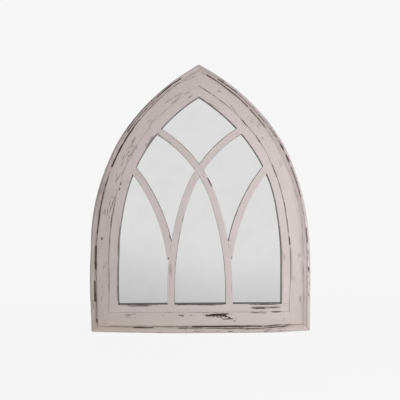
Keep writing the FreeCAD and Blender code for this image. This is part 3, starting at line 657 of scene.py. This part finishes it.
LEFT_LOWER_STRIP_RUBS = [
    (172, 250, 15.8, 2.2, 1.1),
    (250, 270, 17.2, 1.5, 0.8),
    (270, 432, 17.0, 1.3, 0.95),
    (82, 154, 14.2, 2.5, 1.2),
    (24, 47, 17.2, 1.8, 1.0),
    (60, 100, 9, 1.8, 0.45),
    (318, 450, 6, 6.0, -0.25),
    *scuffs(318, 450, 2, 14, 22, 0.9, 61),
]
LEFT_UPPER_STRIP_RUBS = [
    (455, 530, 17.0, 1.8, 1.2),
    (520, 596, 17.0, 1.4, 1.05),
    (552, 628, (9.8, 11.2), 1.4, 1.1),
    (560, 650, 4.2, 1.1, 0.85),
    (610, 694, (10.4, 8.8), 1.1, 1.0),
    (646, 690, (9.6, 8.4), 1.6, 1.35),
    (440, 530, 4.0, 3.0, -0.5),
    (684, 708, (8.6, 10.4), 1.6, 1.2),
    (430, 700, 6, 7.0, -0.36),
    (570, 696, 16.7, 0.9, 0.66),
    *scuffs(430, 690, 1.5, 15, 50, 1.0, 63),
]
RIGHT_LOWER_STRIP_RUBS = [
    (244, 298, 7.0, 1.5, 1.05),
    (188, 236, 6.2, 1.2, 0.85),
    (166, 184, 5.4, 1.5, 0.9),
    (138, 164, 6.8, 0.9, 0.7),
    (112, 132, 6.2, 0.8, 0.55),
    (99, 108, 5.2, 1.3, 0.8),
    (370, 455, 7.3, 1.2, 0.86),
    (396, 455, 5.0, 4.5, -0.32),
    *scuffs(300, 455, 2, 10, 16, 0.7, 65),
    *scuffs(90, 300, 2, 9, 20, 0.85, 66),
]
RIGHT_UPPER_STRIP_RUBS = [
    (658, 704, (9.0, 11.0), 1.5, 1.0),
    (602, 668, (9.4, 10.0), 1.15, 0.94),
    (578, 608, (9.2, 9.7), 1.2, 1.0),
    (544, 572, (8.0, 7.0), 1.1, 0.95),
    (530, 552, (6.4, 8.4), 1.1, 0.95),
    (498, 524, (7.2, 8.0), 1.4, 1.0),
    (466, 496, (8.6, 7.6), 1.4, 1.0),
    (430, 462, 8.0, 1.3, 0.95),
    (618, 716, 16.9, 1.2, 0.95),
    (560, 622, 16.8, 1.2, 0.9),
    (430, 600, 5.0, 4.5, -0.32),
    (688, 740, 6.5, 4.5, -0.32),
    *scuffs(430, 690, 2, 10, 32, 0.95, 67),
    (690, 704, 6.0, 1.6, 0.5),
]
moulding = strip_section()
strip_joint = square_cut(STRIP_JOINT)
# The grime_and_shade level and crease darken the strips: the level is painted shade, set darker on the left
# as if further from the lamp, and the crease band is partly dirt and partly painted shade.
for side, hand, lower_rubs, upper_rubs, seed, grime_and_shade, crease, upper_crease in (
    ("left", 1, LEFT_LOWER_STRIP_RUBS, LEFT_UPPER_STRIP_RUBS, 41, 0.36, (0.9, 0.0055), (0.25, 0.005)),
    ("right", -1, RIGHT_LOWER_STRIP_RUBS, RIGHT_UPPER_STRIP_RUBS, 59, 0.0, (0.45, 0.004), (0.36, 0.004)),
):
    sawn_piece(
        f"{side}_lower_strip_painted", f"{side}_edge_strip_lower", side_point, moulding, [mitre, strip_joint],
        seed, hand, lower_rubs, side_along, ease=STRIP_EASE, grime_and_shade=grime_and_shade, crease=crease, seam=(0.9, 0.5),
    )
    sawn_piece(
        f"{side}_upper_strip_painted", f"{side}_edge_strip_upper", side_point, moulding,
        [strip_joint, arch_middle], seed + 100, hand, upper_rubs, side_along, ease=STRIP_EASE,
        grime_and_shade=0.6 * grime_and_shade, crease=upper_crease, seam=(0.5, 0.3),
    )
BOTTOM_STRIP_RUBS = [
    (-30, 176, 17.3, 1.5, 1.1),
    (168, 262, (17.4, 17.2), 1.0, 0.85),
    (-66, 12, 14.2, 1.7, 0.95),
    (0, 124, (13.4, 12.6), 1.3, 0.85),
    (56, 108, 12.8, 1.6, 0.95),
    (-192, -124, 15.0, 1.9, 1.15),
    (118, 184, (11.2, 13.0), 1.5, 0.92),
    (168, 250, (13.0, 15.0), 1.4, 0.98),
    (70, 96, 4.8, 0.9, 0.7),
    (-24, 74, 6.0, 1.0, 0.5),
    (172, 188, 4.2, 0.9, 0.6),
    (118, 120, 9, 8.0, -0.6),
    *scuffs(100, 262, 5, 16, 20, 1.15, 68),
    *scuffs(-70, 100, 4, 14, 8, 0.6, 69),
]
sawn_piece(
    "bottom_strip_painted", "bottom_edge_strip", level_point, moulding,
    [lambda height: mitre(height) - OUTER_HALF, lambda height: OUTER_HALF - mitre(height)],
    83, 1, BOTTOM_STRIP_RUBS, level_along, ease=STRIP_EASE, crease=(0.9, 0.006), seam=(0.5, 0.9),
)


# Tracery. Two bent bars rise from the bottom as mullions, cross on a half lap in the middle and run on to the
# far side of the arch. They are sawn from 18 mm stock, and the edges that show in the glass are coloured
# dark, partly as dark wood and partly as painted shade.
BAR_WIDTH = 0.0195
BAR_EDGES = np.array([-BAR_WIDTH, BAR_WIDTH]) / 2.0
FINE_EASE = 0.0009
SQUARE_ROOM = 0.001
BAR_OFFSET = 0.0805
BAR_SPRING = 0.116
LOWER_RADIUS = 0.8
BEND_HEIGHT = 0.37
UPPER_RADIUS = 0.35
BEND_ANGLE = math.asin((BEND_HEIGHT - BAR_SPRING) / LOWER_RADIUS)
BEND_ALONG = BAR_SPRING + LOWER_RADIUS * BEND_ANGLE
LOWER_ARC_X = LOWER_RADIUS - BAR_OFFSET
UPPER_ARC_X = LOWER_ARC_X - (LOWER_RADIUS - UPPER_RADIUS) * math.cos(BEND_ANGLE)
UPPER_ARC_Z = BAR_SPRING + (LOWER_RADIUS - UPPER_RADIUS) * math.sin(BEND_ANGLE)
BAR_FRONT = -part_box("left_tracery_bar")[0].y
BAR_BACK = -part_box("left_tracery_bar")[1].y
SIGHT_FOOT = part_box("inner_bottom_rail")[1].z
SIGHT_INSET = RAIL_INNER + INNER_WIDTH
SIGHT_RADIUS = ARCH_RADIUS - SIGHT_INSET


def bar_point(along, outward):
    """Point of the left bar, by the way up its middle line and the offset away from the glass's middle."""
    above = along > BEND_ALONG
    angle = np.maximum(np.minimum(along, BEND_ALONG) - BAR_SPRING, 0.0) / LOWER_RADIUS
    angle = angle + np.maximum(along - BEND_ALONG, 0.0) / UPPER_RADIUS
    reach = np.where(above, UPPER_RADIUS, LOWER_RADIUS) + outward
    x = np.where(above, UPPER_ARC_X, LOWER_ARC_X) - reach * np.cos(angle)
    return x, np.where(above, UPPER_ARC_Z, np.minimum(along, BAR_SPRING)) + reach * np.sin(angle)


def bar_along(height, outward):
    """Way up the bar at a height."""
    lower = np.clip((height - BAR_SPRING) / (LOWER_RADIUS + outward), 0.0, math.sin(BEND_ANGLE))
    upper = np.clip((height - UPPER_ARC_Z) / (UPPER_RADIUS + outward), math.sin(BEND_ANGLE), 1.0)
    arcs = LOWER_RADIUS * np.arcsin(lower) + UPPER_RADIUS * (np.arcsin(upper) - BEND_ANGLE)
    return np.minimum(height, BAR_SPRING) + arcs


def meeting(point, across, low, high, centre_x, centre_z, radius):
    """Way along a piece at which its lines pass out of a circle."""
    low = np.full(np.shape(across), low)
    high = np.full(np.shape(across), high)
    for _ in range(50):
        middle = (low + high) / 2.0
        x, z = point(middle, across)
        outside = np.hypot(x - centre_x, z - centre_z) > radius
        low, high = np.where(outside, low, middle), np.where(outside, middle, high)
    return (low + high) / 2.0


def bar_cut(centre_x, centre_z, radius):
    """Cut of the bar where it passes out of a circle."""
    return lambda outward: meeting(bar_point, outward, BAR_SPRING, 0.8, centre_x, centre_z, radius)


# Both side walls of the bars and branches are fully dark: partly dark wood, partly painted shade.
bar_section = board_section(*BAR_EDGES, BAR_BACK, BAR_FRONT, 1.0, 1.0)
lap_near = bar_cut(-UPPER_ARC_X, UPPER_ARC_Z, UPPER_RADIUS - BAR_WIDTH / 2.0)
lap_far = bar_cut(-UPPER_ARC_X, UPPER_ARC_Z, UPPER_RADIUS + BAR_WIDTH / 2.0)
bar_top = bar_cut(-ARC_CENTRE, SPRING_HEIGHT, SIGHT_RADIUS)
LAP_LEVEL = (BAR_BACK + BAR_FRONT) / 2.0
BRANCH_TOE = 0.202
TOE_ROOM = 0.004
BRANCH_CROTCH = 0.251
bar_end = bar_top(BAR_EDGES).min() - SQUARE_ROOM
bar_square = [(2, BRANCH_TOE + TOE_ROOM, bar_along(BRANCH_CROTCH, 0.0))]
for arris in (1, 2):
    bar_square += [(arris, 0.0, SIGHT_FOOT + SQUARE_ROOM), (arris, bar_end, 1.0)]
lap_span = (lap_near(BAR_EDGES).min(), lap_far(BAR_EDGES).max())
under_square = bar_square + [(arris, *lap_span) for arris in (1, 2)]
LEFT_BAR_RUBS = [
    (158, 200, 4, 4.0, 0.34),
    (190, 196, 7.5, 1.5, 0.9),
    (226, 255, 9.3, 0.9, 0.7),
    (300, 340, -8, 2.0, 0.4),
    (176, 290, -9.3, 0.9, 0.5),
    (150, 186, 1, 2.4, -0.5),
    (462, 594, 9.3, 0.9, 0.66),
]
RIGHT_BAR_RUBS = [
    (400, 434, 8.4, 2.4, 1.0),
    (440, 448, 8.2, 1.6, 0.7),
    (462, 594, 9.3, 0.9, 0.6),
    (520, 560, -7, 1.6, 0.45),
    (100, 140, 7, 2.0, 0.4),
    (192, 198, 7.8, 1.4, 0.72),
    (183, 188, 8, 1.2, 0.66),
    (224, 252, 9.3, 0.9, 0.7),
]
bar_cuts = [square_cut(SIGHT_FOOT), lap_near, lap_far, bar_top]
for side, hand, rubs, seed, squared, keeps_front in (
    ("left", 1, LEFT_BAR_RUBS, 101, under_square, False),
    ("right", -1, RIGHT_BAR_RUBS, 113, bar_square, True),
):
    sawn_piece(
        f"{side}_bar_painted", f"{side}_tracery_bar", bar_point, bar_section, bar_cuts,
        seed, hand, rubs, bar_along, squared, (keeps_front, LAP_LEVEL), ease=FINE_EASE,
    )


# Branches, two more bent lengths of the same bar stock. Each springs off a mullion from a blunt toe, is
# scarfed and glued to the bar's outer edge, and runs up and outward to the near side of the arch.
BRANCH_SPRING = 0.148
BRANCH_RADIUS = 0.494
BRANCH_FOOT_X = 0.0777
BRANCH_ARC_X = -(BRANCH_FOOT_X + BRANCH_RADIUS)


def branch_point(along, outward):
    """Point of the left branch, by the way round its arc and the offset away from the glass's middle."""
    reach = BRANCH_RADIUS - outward
    turn = along / BRANCH_RADIUS
    return BRANCH_ARC_X + reach * np.cos(turn), BRANCH_SPRING + reach * np.sin(turn)


def branch_along(height, outward):
    """Way round the branch at a height."""
    return BRANCH_RADIUS * np.arcsin((height - BRANCH_SPRING) / (BRANCH_RADIUS - outward))


def branch_start(outward):
    """The blunt toe, or the scarf against the bar where that is higher."""
    toe = branch_along(BRANCH_TOE, outward)
    outside = LOWER_RADIUS + BAR_WIDTH / 2.0
    return np.maximum(toe, meeting(branch_point, outward, 0.0, 0.4, LOWER_ARC_X, BAR_SPRING, outside))


def branch_end(outward):
    """The near sight edge of the arch."""
    return meeting(branch_point, outward, 0.1, 0.5, ARC_CENTRE, SPRING_HEIGHT, SIGHT_RADIUS)


branch_top = branch_end(BAR_EDGES).min() - SQUARE_ROOM
branch_toe = branch_start(BAR_EDGES)[0] + SQUARE_ROOM
branch_square = [(1, 0.0, branch_toe), (1, branch_top, 1.0), (2, branch_top, 1.0)]
LEFT_BRANCH_RUBS = [(202, 211, 5, 2.4, 0.95), (258, 275, -8.4, 1.5, 0.6)]
RIGHT_BRANCH_RUBS = [(202, 214, 6, 1.8, 0.55), (252, 264, -8.6, 1.6, 0.7)]
for side, hand, rubs, seed in (("left", 1, LEFT_BRANCH_RUBS, 127), ("right", -1, RIGHT_BRANCH_RUBS, 139)):
    sawn_piece(
        f"{side}_branch_painted", f"{side}_tracery_branch", branch_point, bar_section,
        [branch_start, branch_end], seed, hand, rubs, branch_along, branch_square, ease=FINE_EASE,
    )


# Inner frame, the narrower band set 2 mm back inside the main frame. It is rebated behind for the mirror, and
# its edge at the glass is coloured dark, partly as bare dark wood and partly as painted shade. The tracery is
# glued flush to its face.
INNER_FRONT = -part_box("inner_bottom_rail")[0].y
INNER_BACK = -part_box("left_inner_stile")[1].y
INNER_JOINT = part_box("left_inner_stile")[1].z
GLASS_FRONT = -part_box("mirror_glass")[0].y
REBATE_WIDTH = 0.011
POST_FOOT_HALF = 0.0108


def landing(x, z):
    """Way up the outer edge of the left side at a point of its arch."""
    return SPRING_HEIGHT + ARCH_RADIUS * np.arctan2(z - SPRING_HEIGHT, ARC_CENTRE - x)


def rebated_section(near, far, stain_and_shade_far):
    """Ring of an inner frame piece, with the rebate for the glass cut out of its back."""
    ring = board_section(near, far, GLASS_FRONT, INNER_FRONT, 0.0, stain_and_shade_far)
    step = far - REBATE_WIDTH
    ring[(ring[:, 0] <= step) & (ring[:, 1] <= GLASS_FRONT + 1e-9), 1] = INNER_BACK
    return ring


bar_x, bar_z = bar_point(bar_top(BAR_EDGES), BAR_EDGES)
branch_x, branch_z = branch_point(branch_end(BAR_EDGES), BAR_EDGES)
inner_square = []
for landed in (landing(-bar_x, bar_z), landing(branch_x, branch_z)):
    inner_square.append((2, landed.min() - SQUARE_ROOM, landed.max() + SQUARE_ROOM))
LEFT_INNER_STILE_RUBS = [
    (320, 386, 54.2, 1.2, 0.5),
    (286, 326, 54, 1.2, 0.45),
    (108, 206, 53.8, 0.9, 0.34),
    (394, 406, 57, 1.6, 0.85),
    (408, 420, 56.6, 1.4, 0.75),
    (82, 300, 77.9, 0.9, 0.6),
]
RIGHT_INNER_STILE_RUBS = [
    (236, 270, 54, 1.6, 0.66),
    (138, 240, 53.9, 1.2, 0.28),
    (270, 421, 53.9, 1.1, 0.38),
    (82, 300, 77.4, 1.4, -0.7),
    *scuffs(192, 238, 68, 76, 5, 1.1, 31),
]
LEFT_INNER_ARCH_RUBS = [
    (646, 660, 66.5, 1.8, 0.72),
    (508, 548, 77.6, 2.2, -0.9),
    *scuffs(504, 552, 72, 78, 5, 0.95, 32),
    *scuffs(424, 524, 53.5, 58, 6, 0.8, 33),
    (640, 684, 54, 1.1, 0.36),
]
RIGHT_INNER_ARCH_RUBS = [
    (421, 468, 53.9, 1.1, 0.38),
    (522, 594, 53.9, 1.0, 0.36),
    (650, 690, 53.9, 1.1, 0.34),
    *scuffs(608, 642, 74, 79, 4, 0.8, 34),
]
inner_foot = square_cut(SIGHT_FOOT)
inner_joint = side_cut(INNER_JOINT)
# The wall at the glass is dark on both sides, partly dark wood and partly painted shade, and the painted
# shade makes it darker on the left than on the right.
for side, hand, stile_rubs, arch_rubs, seed, stain_and_shade, foot_seam, seam in (
    ("left", 1, LEFT_INNER_STILE_RUBS, LEFT_INNER_ARCH_RUBS, 151, 0.9, 0.0, 0.45),
    ("right", -1, RIGHT_INNER_STILE_RUBS, RIGHT_INNER_ARCH_RUBS, 163, 0.6, 0.6, 0.08),
):
    inner_section = rebated_section(RAIL_INNER, SIGHT_INSET, stain_and_shade)
    tight = inner_square + [(1, low, high) for low, high in TIGHT_GROOVE[side]]
    sawn_piece(
        f"{side}_inner_stile_painted", f"{side}_inner_stile", side_point, inner_section,
        [inner_foot, inner_joint], seed, hand, stile_rubs, side_along, tight, ease=FINE_EASE,
        seam=(foot_seam, seam),
    )
    sawn_piece(
        f"{side}_inner_arch_painted", f"{side}_inner_arch", side_point, inner_section,
        [inner_joint, arch_middle], seed + 100, hand, arch_rubs, side_along, tight, ease=FINE_EASE,
        seam=(seam, 0.0),
    )
INNER_RAIL_RUBS = [
    (130, 226, 77.6, 1.1, 1.0),
    (136, 196, (68.5, 69.5), 3.0, -0.9),
    (138, 186, (68.5, 69), 1.8, 1.0),
    (174, 228, (68.5, 70.5), 2.6, -0.9),
    (186, 222, (68.5, 70.5), 1.5, 0.95),
    (144, 188, 66, 1.6, 0.75),
    *scuffs(132, 190, 57, 60, 5, 0.9, 35),
    (192, 230, 57.8, 0.8, 0.5),
    (-226, -112, 78, 1.2, 0.62),
    (-204, -138, 76.0, 2.4, -1.0),
    (-70, 72, 78.2, 1.0, 0.66),
    (-15, 48, 77, 1.4, 0.8),
    (-20, 60, 57.8, 0.9, 0.26),
]
# Its top wall at the glass is fully dark: partly dark wood, partly painted shade.
bottom_inner = rebated_section(RAIL_TOP, SIGHT_FOOT, 1.0)
post_feet = [(2, middle - POST_FOOT_HALF, middle + POST_FOOT_HALF) for middle in (-BAR_OFFSET, BAR_OFFSET)]
corner_feet = [(2, -1.0, -OUTER_HALF + SIGHT_INSET), (2, OUTER_HALF - SIGHT_INSET, 1.0)]
sawn_piece(
    "inner_bottom_rail_painted", "inner_bottom_rail", level_point, bottom_inner, rail_ends,
    179, 1, INNER_RAIL_RUBS, level_along, post_feet + corner_feet, ease=FINE_EASE,
)


# Mirror glass, one 3 mm silvered sheet cut to the arch, lying in the rebate of the inner frame.
# The silvering is slightly uneven, and the face carries a faint patchy film of dust.
def object_place(tree):
    """Place on the object, in metres."""
    return add_node(tree, "TexCoord").outputs["Object"]


def speckle(tree, place, scale, detail):
    """Even noise."""
    inputs = {"Vector": place, "Scale": scale, "Detail": detail}
    return add_node(tree, "TexNoise", inputs).outputs["Fac"]


def ranged(tree, value, low, high):
    """A value from 0 to 1, spread from low to high."""
    inputs = {"Value": value, "To Min": low, "To Max": high}
    return add_node(tree, "MapRange", inputs).outputs["Result"]


MIRROR_SILVER, mirror, mirror_shader = new_material("mirror_silver")
sheet_place = object_place(mirror)
ripple = speckle(mirror, sheet_place, 7.0, 2.0)
dust = speckle(mirror, sheet_place, 26.0, 5.0)
silver = mixed(mirror, smooth_step(mirror, dust, 0.35, 0.75), colour(229, 229, 229), colour(226, 226, 227))
finish_surface(mirror, mirror_shader, silver, ranged(mirror, dust, 0.015, 0.05), 0.05, 0.0005, ripple)
mirror_shader.inputs["Metallic"].default_value = 1.0


def refinish(node, material):
    """Gives a CAD part that is shown as it is its own finish."""
    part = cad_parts[node]
    part.data.materials.clear()
    part.data.materials.append(material)
    return part


refinish("mirror_glass", MIRROR_SILVER)


# Backing board, 3 mm hardboard that holds the mirror in its rebate, with the screen-marked rough side out.
# It is cut to the arch of the main frame's opening and screwed to the back of the inner frame.
HARDBOARD, board, board_shader = new_material("hardboard")
board_place = object_place(board)
fibres = speckle(board, board_place, 260.0, 6.0)
stains = speckle(board, board_place, 9.0, 4.0)
screen = []
for direction in ("X", "Z"):
    inputs = {"Vector": board_place, "Scale": 210.0, "Distortion": 0.6, "Detail": 1.0}
    wave = add_node(board, "TexWave", inputs, wave_type="BANDS", bands_direction=direction)
    screen.append(wave.outputs["Fac"])
board_tone = mixed(board, smooth_step(board, fibres, 0.3, 0.7), colour(112, 80, 56), colour(146, 110, 80))
board_tone = mixed(board, smooth_step(board, stains, 0.45, 0.75), board_tone, colour(104, 76, 56))
weave = figure(board, "ADD", times(board, *screen), times(board, fibres, 0.6))
finish_surface(board, board_shader, board_tone, ranged(board, fibres, 0.7, 0.9), 0.5, 0.0004, weave)
refinish("backing_board", HARDBOARD)


# Screws of the back: thirteen small pan heads hold the backing board, and two larger ones each hanger strap.
# They are zinc-plated steel with a cross recess, driven from behind.
RIM_SHARE = 0.45
RECESS_SHARE = 0.62
ZINC, zinc, zinc_shader = new_material("zinc_plate")
zinc_place = object_place(zinc)
spangle = speckle(zinc, zinc_place, 420.0, 5.0)
bloom = speckle(zinc, zinc_place, 90.0, 4.0)
zinc_tone = mixed(zinc, smooth_step(zinc, spangle, 0.3, 0.7), colour(186, 188, 190), colour(206, 207, 206))
zinc_tone = mixed(zinc, smooth_step(zinc, bloom, 0.52, 0.72), zinc_tone, colour(160, 158, 154))
finish_surface(zinc, zinc_shader, zinc_tone, ranged(zinc, bloom, 0.26, 0.55), 0.15, 0.0002, spangle)
zinc_shader.inputs["Metallic"].default_value = 1.0


def solids_of(node):
    """Corner pair of each separate solid in a CAD node."""
    shape = bmesh.new()
    shape.from_mesh(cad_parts[node].data)
    bmesh.ops.remove_doubles(shape, verts=shape.verts, dist=1e-6)
    waiting = set(shape.verts)
    boxes = []
    while waiting:
        front = [waiting.pop()]
        found = list(front)
        while front:
            for edge in front.pop().link_edges:
                for vertex in edge.verts:
                    if vertex in waiting:
                        waiting.remove(vertex)
                        front.append(vertex)
                        found.append(vertex)
        points = np.array([vertex.co for vertex in found])
        boxes.append((points.min(axis=0), points.max(axis=0)))
    shape.free()
    return sorted(boxes, key=lambda pair: tuple(np.round(pair[0], 5)))


def pan_head(shape, x, z, seat, top, tip, radius, shank, turn):
    """One screw: a domed head with a cross recess, and its shank down into the wood."""
    around = np.linspace(0.0, 2.0 * math.pi, 49)[:-1]
    rim = seat + RIM_SHARE * (top - seat)
    profile = [(shank, tip, False), (shank, seat, False), (radius, seat, False), (radius, rim, False)]
    for share in np.linspace(0.97, 0.06, 14):
        profile.append((radius * share, seat + (top - seat) * (1.0 - 0.5 * share**4), True))
    rings = []
    for reach, level, domed in profile:
        wide, tall = reach * np.cos(around), reach * np.sin(around)
        arm = np.minimum(np.abs(wide), np.abs(tall)) / radius
        dip = (1.0 - fade(arm, 0.1, 0.17)) * (1.0 - fade(reach / radius, 0.5, 0.62))
        spun_x = x + (wide * math.cos(turn) - tall * math.sin(turn))
        spun_y = level - domed * dip * RECESS_SHARE * (top - seat)
        spun_z = z + (wide * math.sin(turn) + tall * math.cos(turn))
        rings.append([shape.verts.new(place) for place in zip(spun_x, spun_y, spun_z)])
    for lower, upper in zip(rings[:-1], rings[1:]):
        for here in range(len(lower)):
            there = (here + 1) % len(lower)
            shape.faces.new((lower[here], lower[there], upper[there], upper[here]))
    shape.faces.new(rings[0][::-1])
    shape.faces.new(rings[-1])


def driven_screws(name, node, head_height, shank):
    """All the screws of one CAD node, in one mesh."""
    draw = random.Random(len(name))
    shape = bmesh.new()
    for low, high in solids_of(node):
        middle = (low + high) / 2.0
        radius = (high[0] - low[0]) / 2.0
        turn = draw.uniform(0, 1.57)
        pan_head(shape, middle[0], middle[2], high[1] - head_height, high[1], low[1], radius, shank, turn)
    mesh = bpy.data.meshes.new(name)
    smooth_mesh(shape, mesh, 45.0)
    fixed_piece(name, mesh, ZINC, node)


driven_screws("backing_screw_heads", "backing_screws", 0.0018, 0.0014)
driven_screws("hanger_screw_heads", "hanger_screws", 0.0022, 0.0017)


# Hangers. A folded steel strap on each side is screwed to the back of the arch rail, its eye holding a wire
# ring that swings on it and takes the wall hook. Both are zinc plated.
for side in ("left", "right"):
    strap = refinish(f"{side}_hanger_strap", ZINC)
    rounding = strap.modifiers.new("rounded_edges", "BEVEL")
    rounding.width = 0.0003
    rounding.segments = 2
    rounding.limit_method = "ANGLE"
    rounding.angle_limit = math.radians(40.0)
    refinish(f"{side}_hanger_ring", ZINC)


# Dowels and pins, hidden inside the wood. The dowels are turned beech, two to each joint of the main frame,
# and the pins are plain steel, driven through the edge strip from outside and filled over.
BEECH, beech, beech_shader = new_material("beech")
rays = stretched_noise(beech, object_place(beech), (600.0, 600.0, 60.0), 4.0, 0.5)
beech_tone = mixed(beech, smooth_step(beech, rays, 0.35, 0.65), colour(196, 152, 112), colour(214, 174, 134))
beech.links.new(beech_tone, beech_shader.inputs["Base Color"])
beech_shader.inputs["Roughness"].default_value = 0.6
refinish("rail_dowels", BEECH)
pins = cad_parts["edge_strip_pins"].data.copy()
for vertex in pins.vertices:
    x, z = out_of_true(np.array([vertex.co.x]), np.array([vertex.co.z]), np.array([-vertex.co.y]))
    vertex.co = (float(x[0]), vertex.co.y, float(z[0]))
fixed_piece("driven_pins", pins, ZINC, "edge_strip_pins")


# Studio floor, plain and pale. It keeps the soft shadow near the mirror, and further out runs into the white
# of the surroundings. To reflected rays it shows painted shade, a set brightness lower near the mirror
# and to its left, standing in for the mirror's shadow and the lamp's falloff.
FLOOR, ground, floor_shader = new_material("pale_floor")
ground.nodes.remove(floor_shader)
BACKDROP_WHITE = 0.922
FLOOR_SIZE = 14.0
FLOOR_LEVEL = -0.0006
GLOSS_AT_ONE_METRE = 0.846
GLOSS_RISE = 0.138
SIDE_LIGHT_PER_METRE = 0.24
MOST_SIDE_LIGHT = 0.02
paths = add_node(ground, "LightPath")
floor_place = object_place(ground)
distance = add_node(ground, "VectorMath", {0: floor_place}, operation="LENGTH").outputs["Value"]
far_off = smooth_step(ground, distance, 0.45, 1.3)
matte = add_node(ground, "BsdfDiffuse", {"Color": (0.82, 0.82, 0.82, 1.0)}).outputs[0]
camera_share = figure(ground, "MULTIPLY_ADD", far_off, 0.025, 0.975)
gloss_ray = figure(ground, "MAXIMUM", paths.outputs["Is Glossy Ray"], paths.outputs["Is Transmission Ray"])
# Painted shade seen only in reflections: the floor is darker to glossy rays near the mirror, as if in its
# shadow, and a little darker to the left, as if further from the lamp.
far_log = figure(ground, "LOGARITHM", distance, math.e)
painted_reflected_level = figure(ground, "MULTIPLY_ADD", far_log, GLOSS_RISE, GLOSS_AT_ONE_METRE)
sideways = add_node(ground, "SeparateXYZ", {0: floor_place}).outputs["X"]
nearness = figure(ground, "SUBTRACT", 1.0, smooth_step(ground, distance, 0.8, 6.4))
painted_side_light = times(ground, times(ground, sideways, SIDE_LIGHT_PER_METRE), nearness)
painted_side_light = figure(ground, "MINIMUM", painted_side_light, MOST_SIDE_LIGHT)
painted_reflected_level = figure(ground, "ADD", figure(ground, "MINIMUM", painted_reflected_level, 1.0), painted_side_light)
painted_reflected_level = figure(ground, "MINIMUM", painted_reflected_level, 1.0)
dimming = times(ground, gloss_ray, figure(ground, "SUBTRACT", 1.0, painted_reflected_level))
whiteness = times(ground, figure(ground, "SUBTRACT", 1.0, dimming), BACKDROP_WHITE)
glow = add_node(ground, "Emission", {"Strength": whiteness}).outputs[0]
seen = times(ground, paths.outputs["Is Camera Ray"], camera_share)
seen = figure(ground, "MAXIMUM", seen, gloss_ray)
floor_mix = add_node(ground, "MixShader", {0: seen, 1: matte, 2: glow})
ground.links.new(floor_mix.outputs[0], ground.nodes["Material Output"].inputs["Surface"])
bpy.ops.mesh.primitive_plane_add(size=FLOOR_SIZE, location=(0.0, 0.0, FLOOR_LEVEL))
floor = bpy.context.object
floor.name = "floor"
floor.data.materials.append(FLOOR)


# Light. The room is an even white, with a soft lamp in front to the right, so the left of the frame falls off
# gently, and another behind that lights the back.
world = bpy.data.worlds.new("soft_room")
bpy.context.scene.world = world
world.use_nodes = True
room = world.node_tree
background = room.nodes["Background"]
room_paths = add_node(room, "LightPath")
direct = figure(room, "MAXIMUM", room_paths.outputs["Is Camera Ray"], room_paths.outputs["Is Glossy Ray"])
direct = figure(room, "MAXIMUM", direct, room_paths.outputs["Is Transmission Ray"])
ROOM_LIGHT = 0.46
room_level = figure(room, "MULTIPLY_ADD", direct, BACKDROP_WHITE - ROOM_LIGHT, ROOM_LIGHT)
room.links.new(room_level, background.inputs["Strength"])
background.inputs["Color"].default_value = (1.0, 1.0, 1.0, 1.0)


def soft_lamp(name, place, target, size, power):
    """Square lamp at a place, turned to a target."""
    lamp = bpy.data.lights.new(name, "AREA")
    lamp.size = size
    lamp.energy = power
    holder = bpy.data.objects.new(name, lamp)
    holder.location = place
    holder.rotation_euler = (Vector(target) - Vector(place)).to_track_quat("-Z", "Y").to_euler()
    bpy.context.scene.collection.objects.link(holder)


soft_lamp("right_lamp", (0.66, -1.02, 0.36), (0.04, 0.0, 0.3), 0.55, 6.6)
soft_lamp("back_lamp", (-0.6, 1.4, 0.8), (0.0, 0.0, 0.36), 0.8, 9.0)


# Camera, level and square on to the mirror, 2 m in front of it, with the picture's frame 1.105 m wide there.
# It is rolled by a part of a degree, so that the mirror leans in the picture.
CAMERA_DISTANCE = 2.0
CAMERA_SIDE = 0.0014
CAMERA_HEIGHT = 0.3676
CAMERA_ROLL = math.radians(0.38)
FRAME_WIDTH = 1.105
camera = bpy.data.cameras.new("camera")
camera.sensor_width = 36.0
camera.lens = camera.sensor_width * CAMERA_DISTANCE / FRAME_WIDTH
viewer = bpy.data.objects.new("camera", camera)
viewer.location = (CAMERA_SIDE, -RAIL_FRONT - CAMERA_DISTANCE, CAMERA_HEIGHT)
viewer.rotation_euler = (math.radians(90.0), CAMERA_ROLL, 0.0)
bpy.context.scene.collection.objects.link(viewer)
bpy.context.scene.camera = viewer
bpy.context.scene.view_settings.view_transform = "Standard"
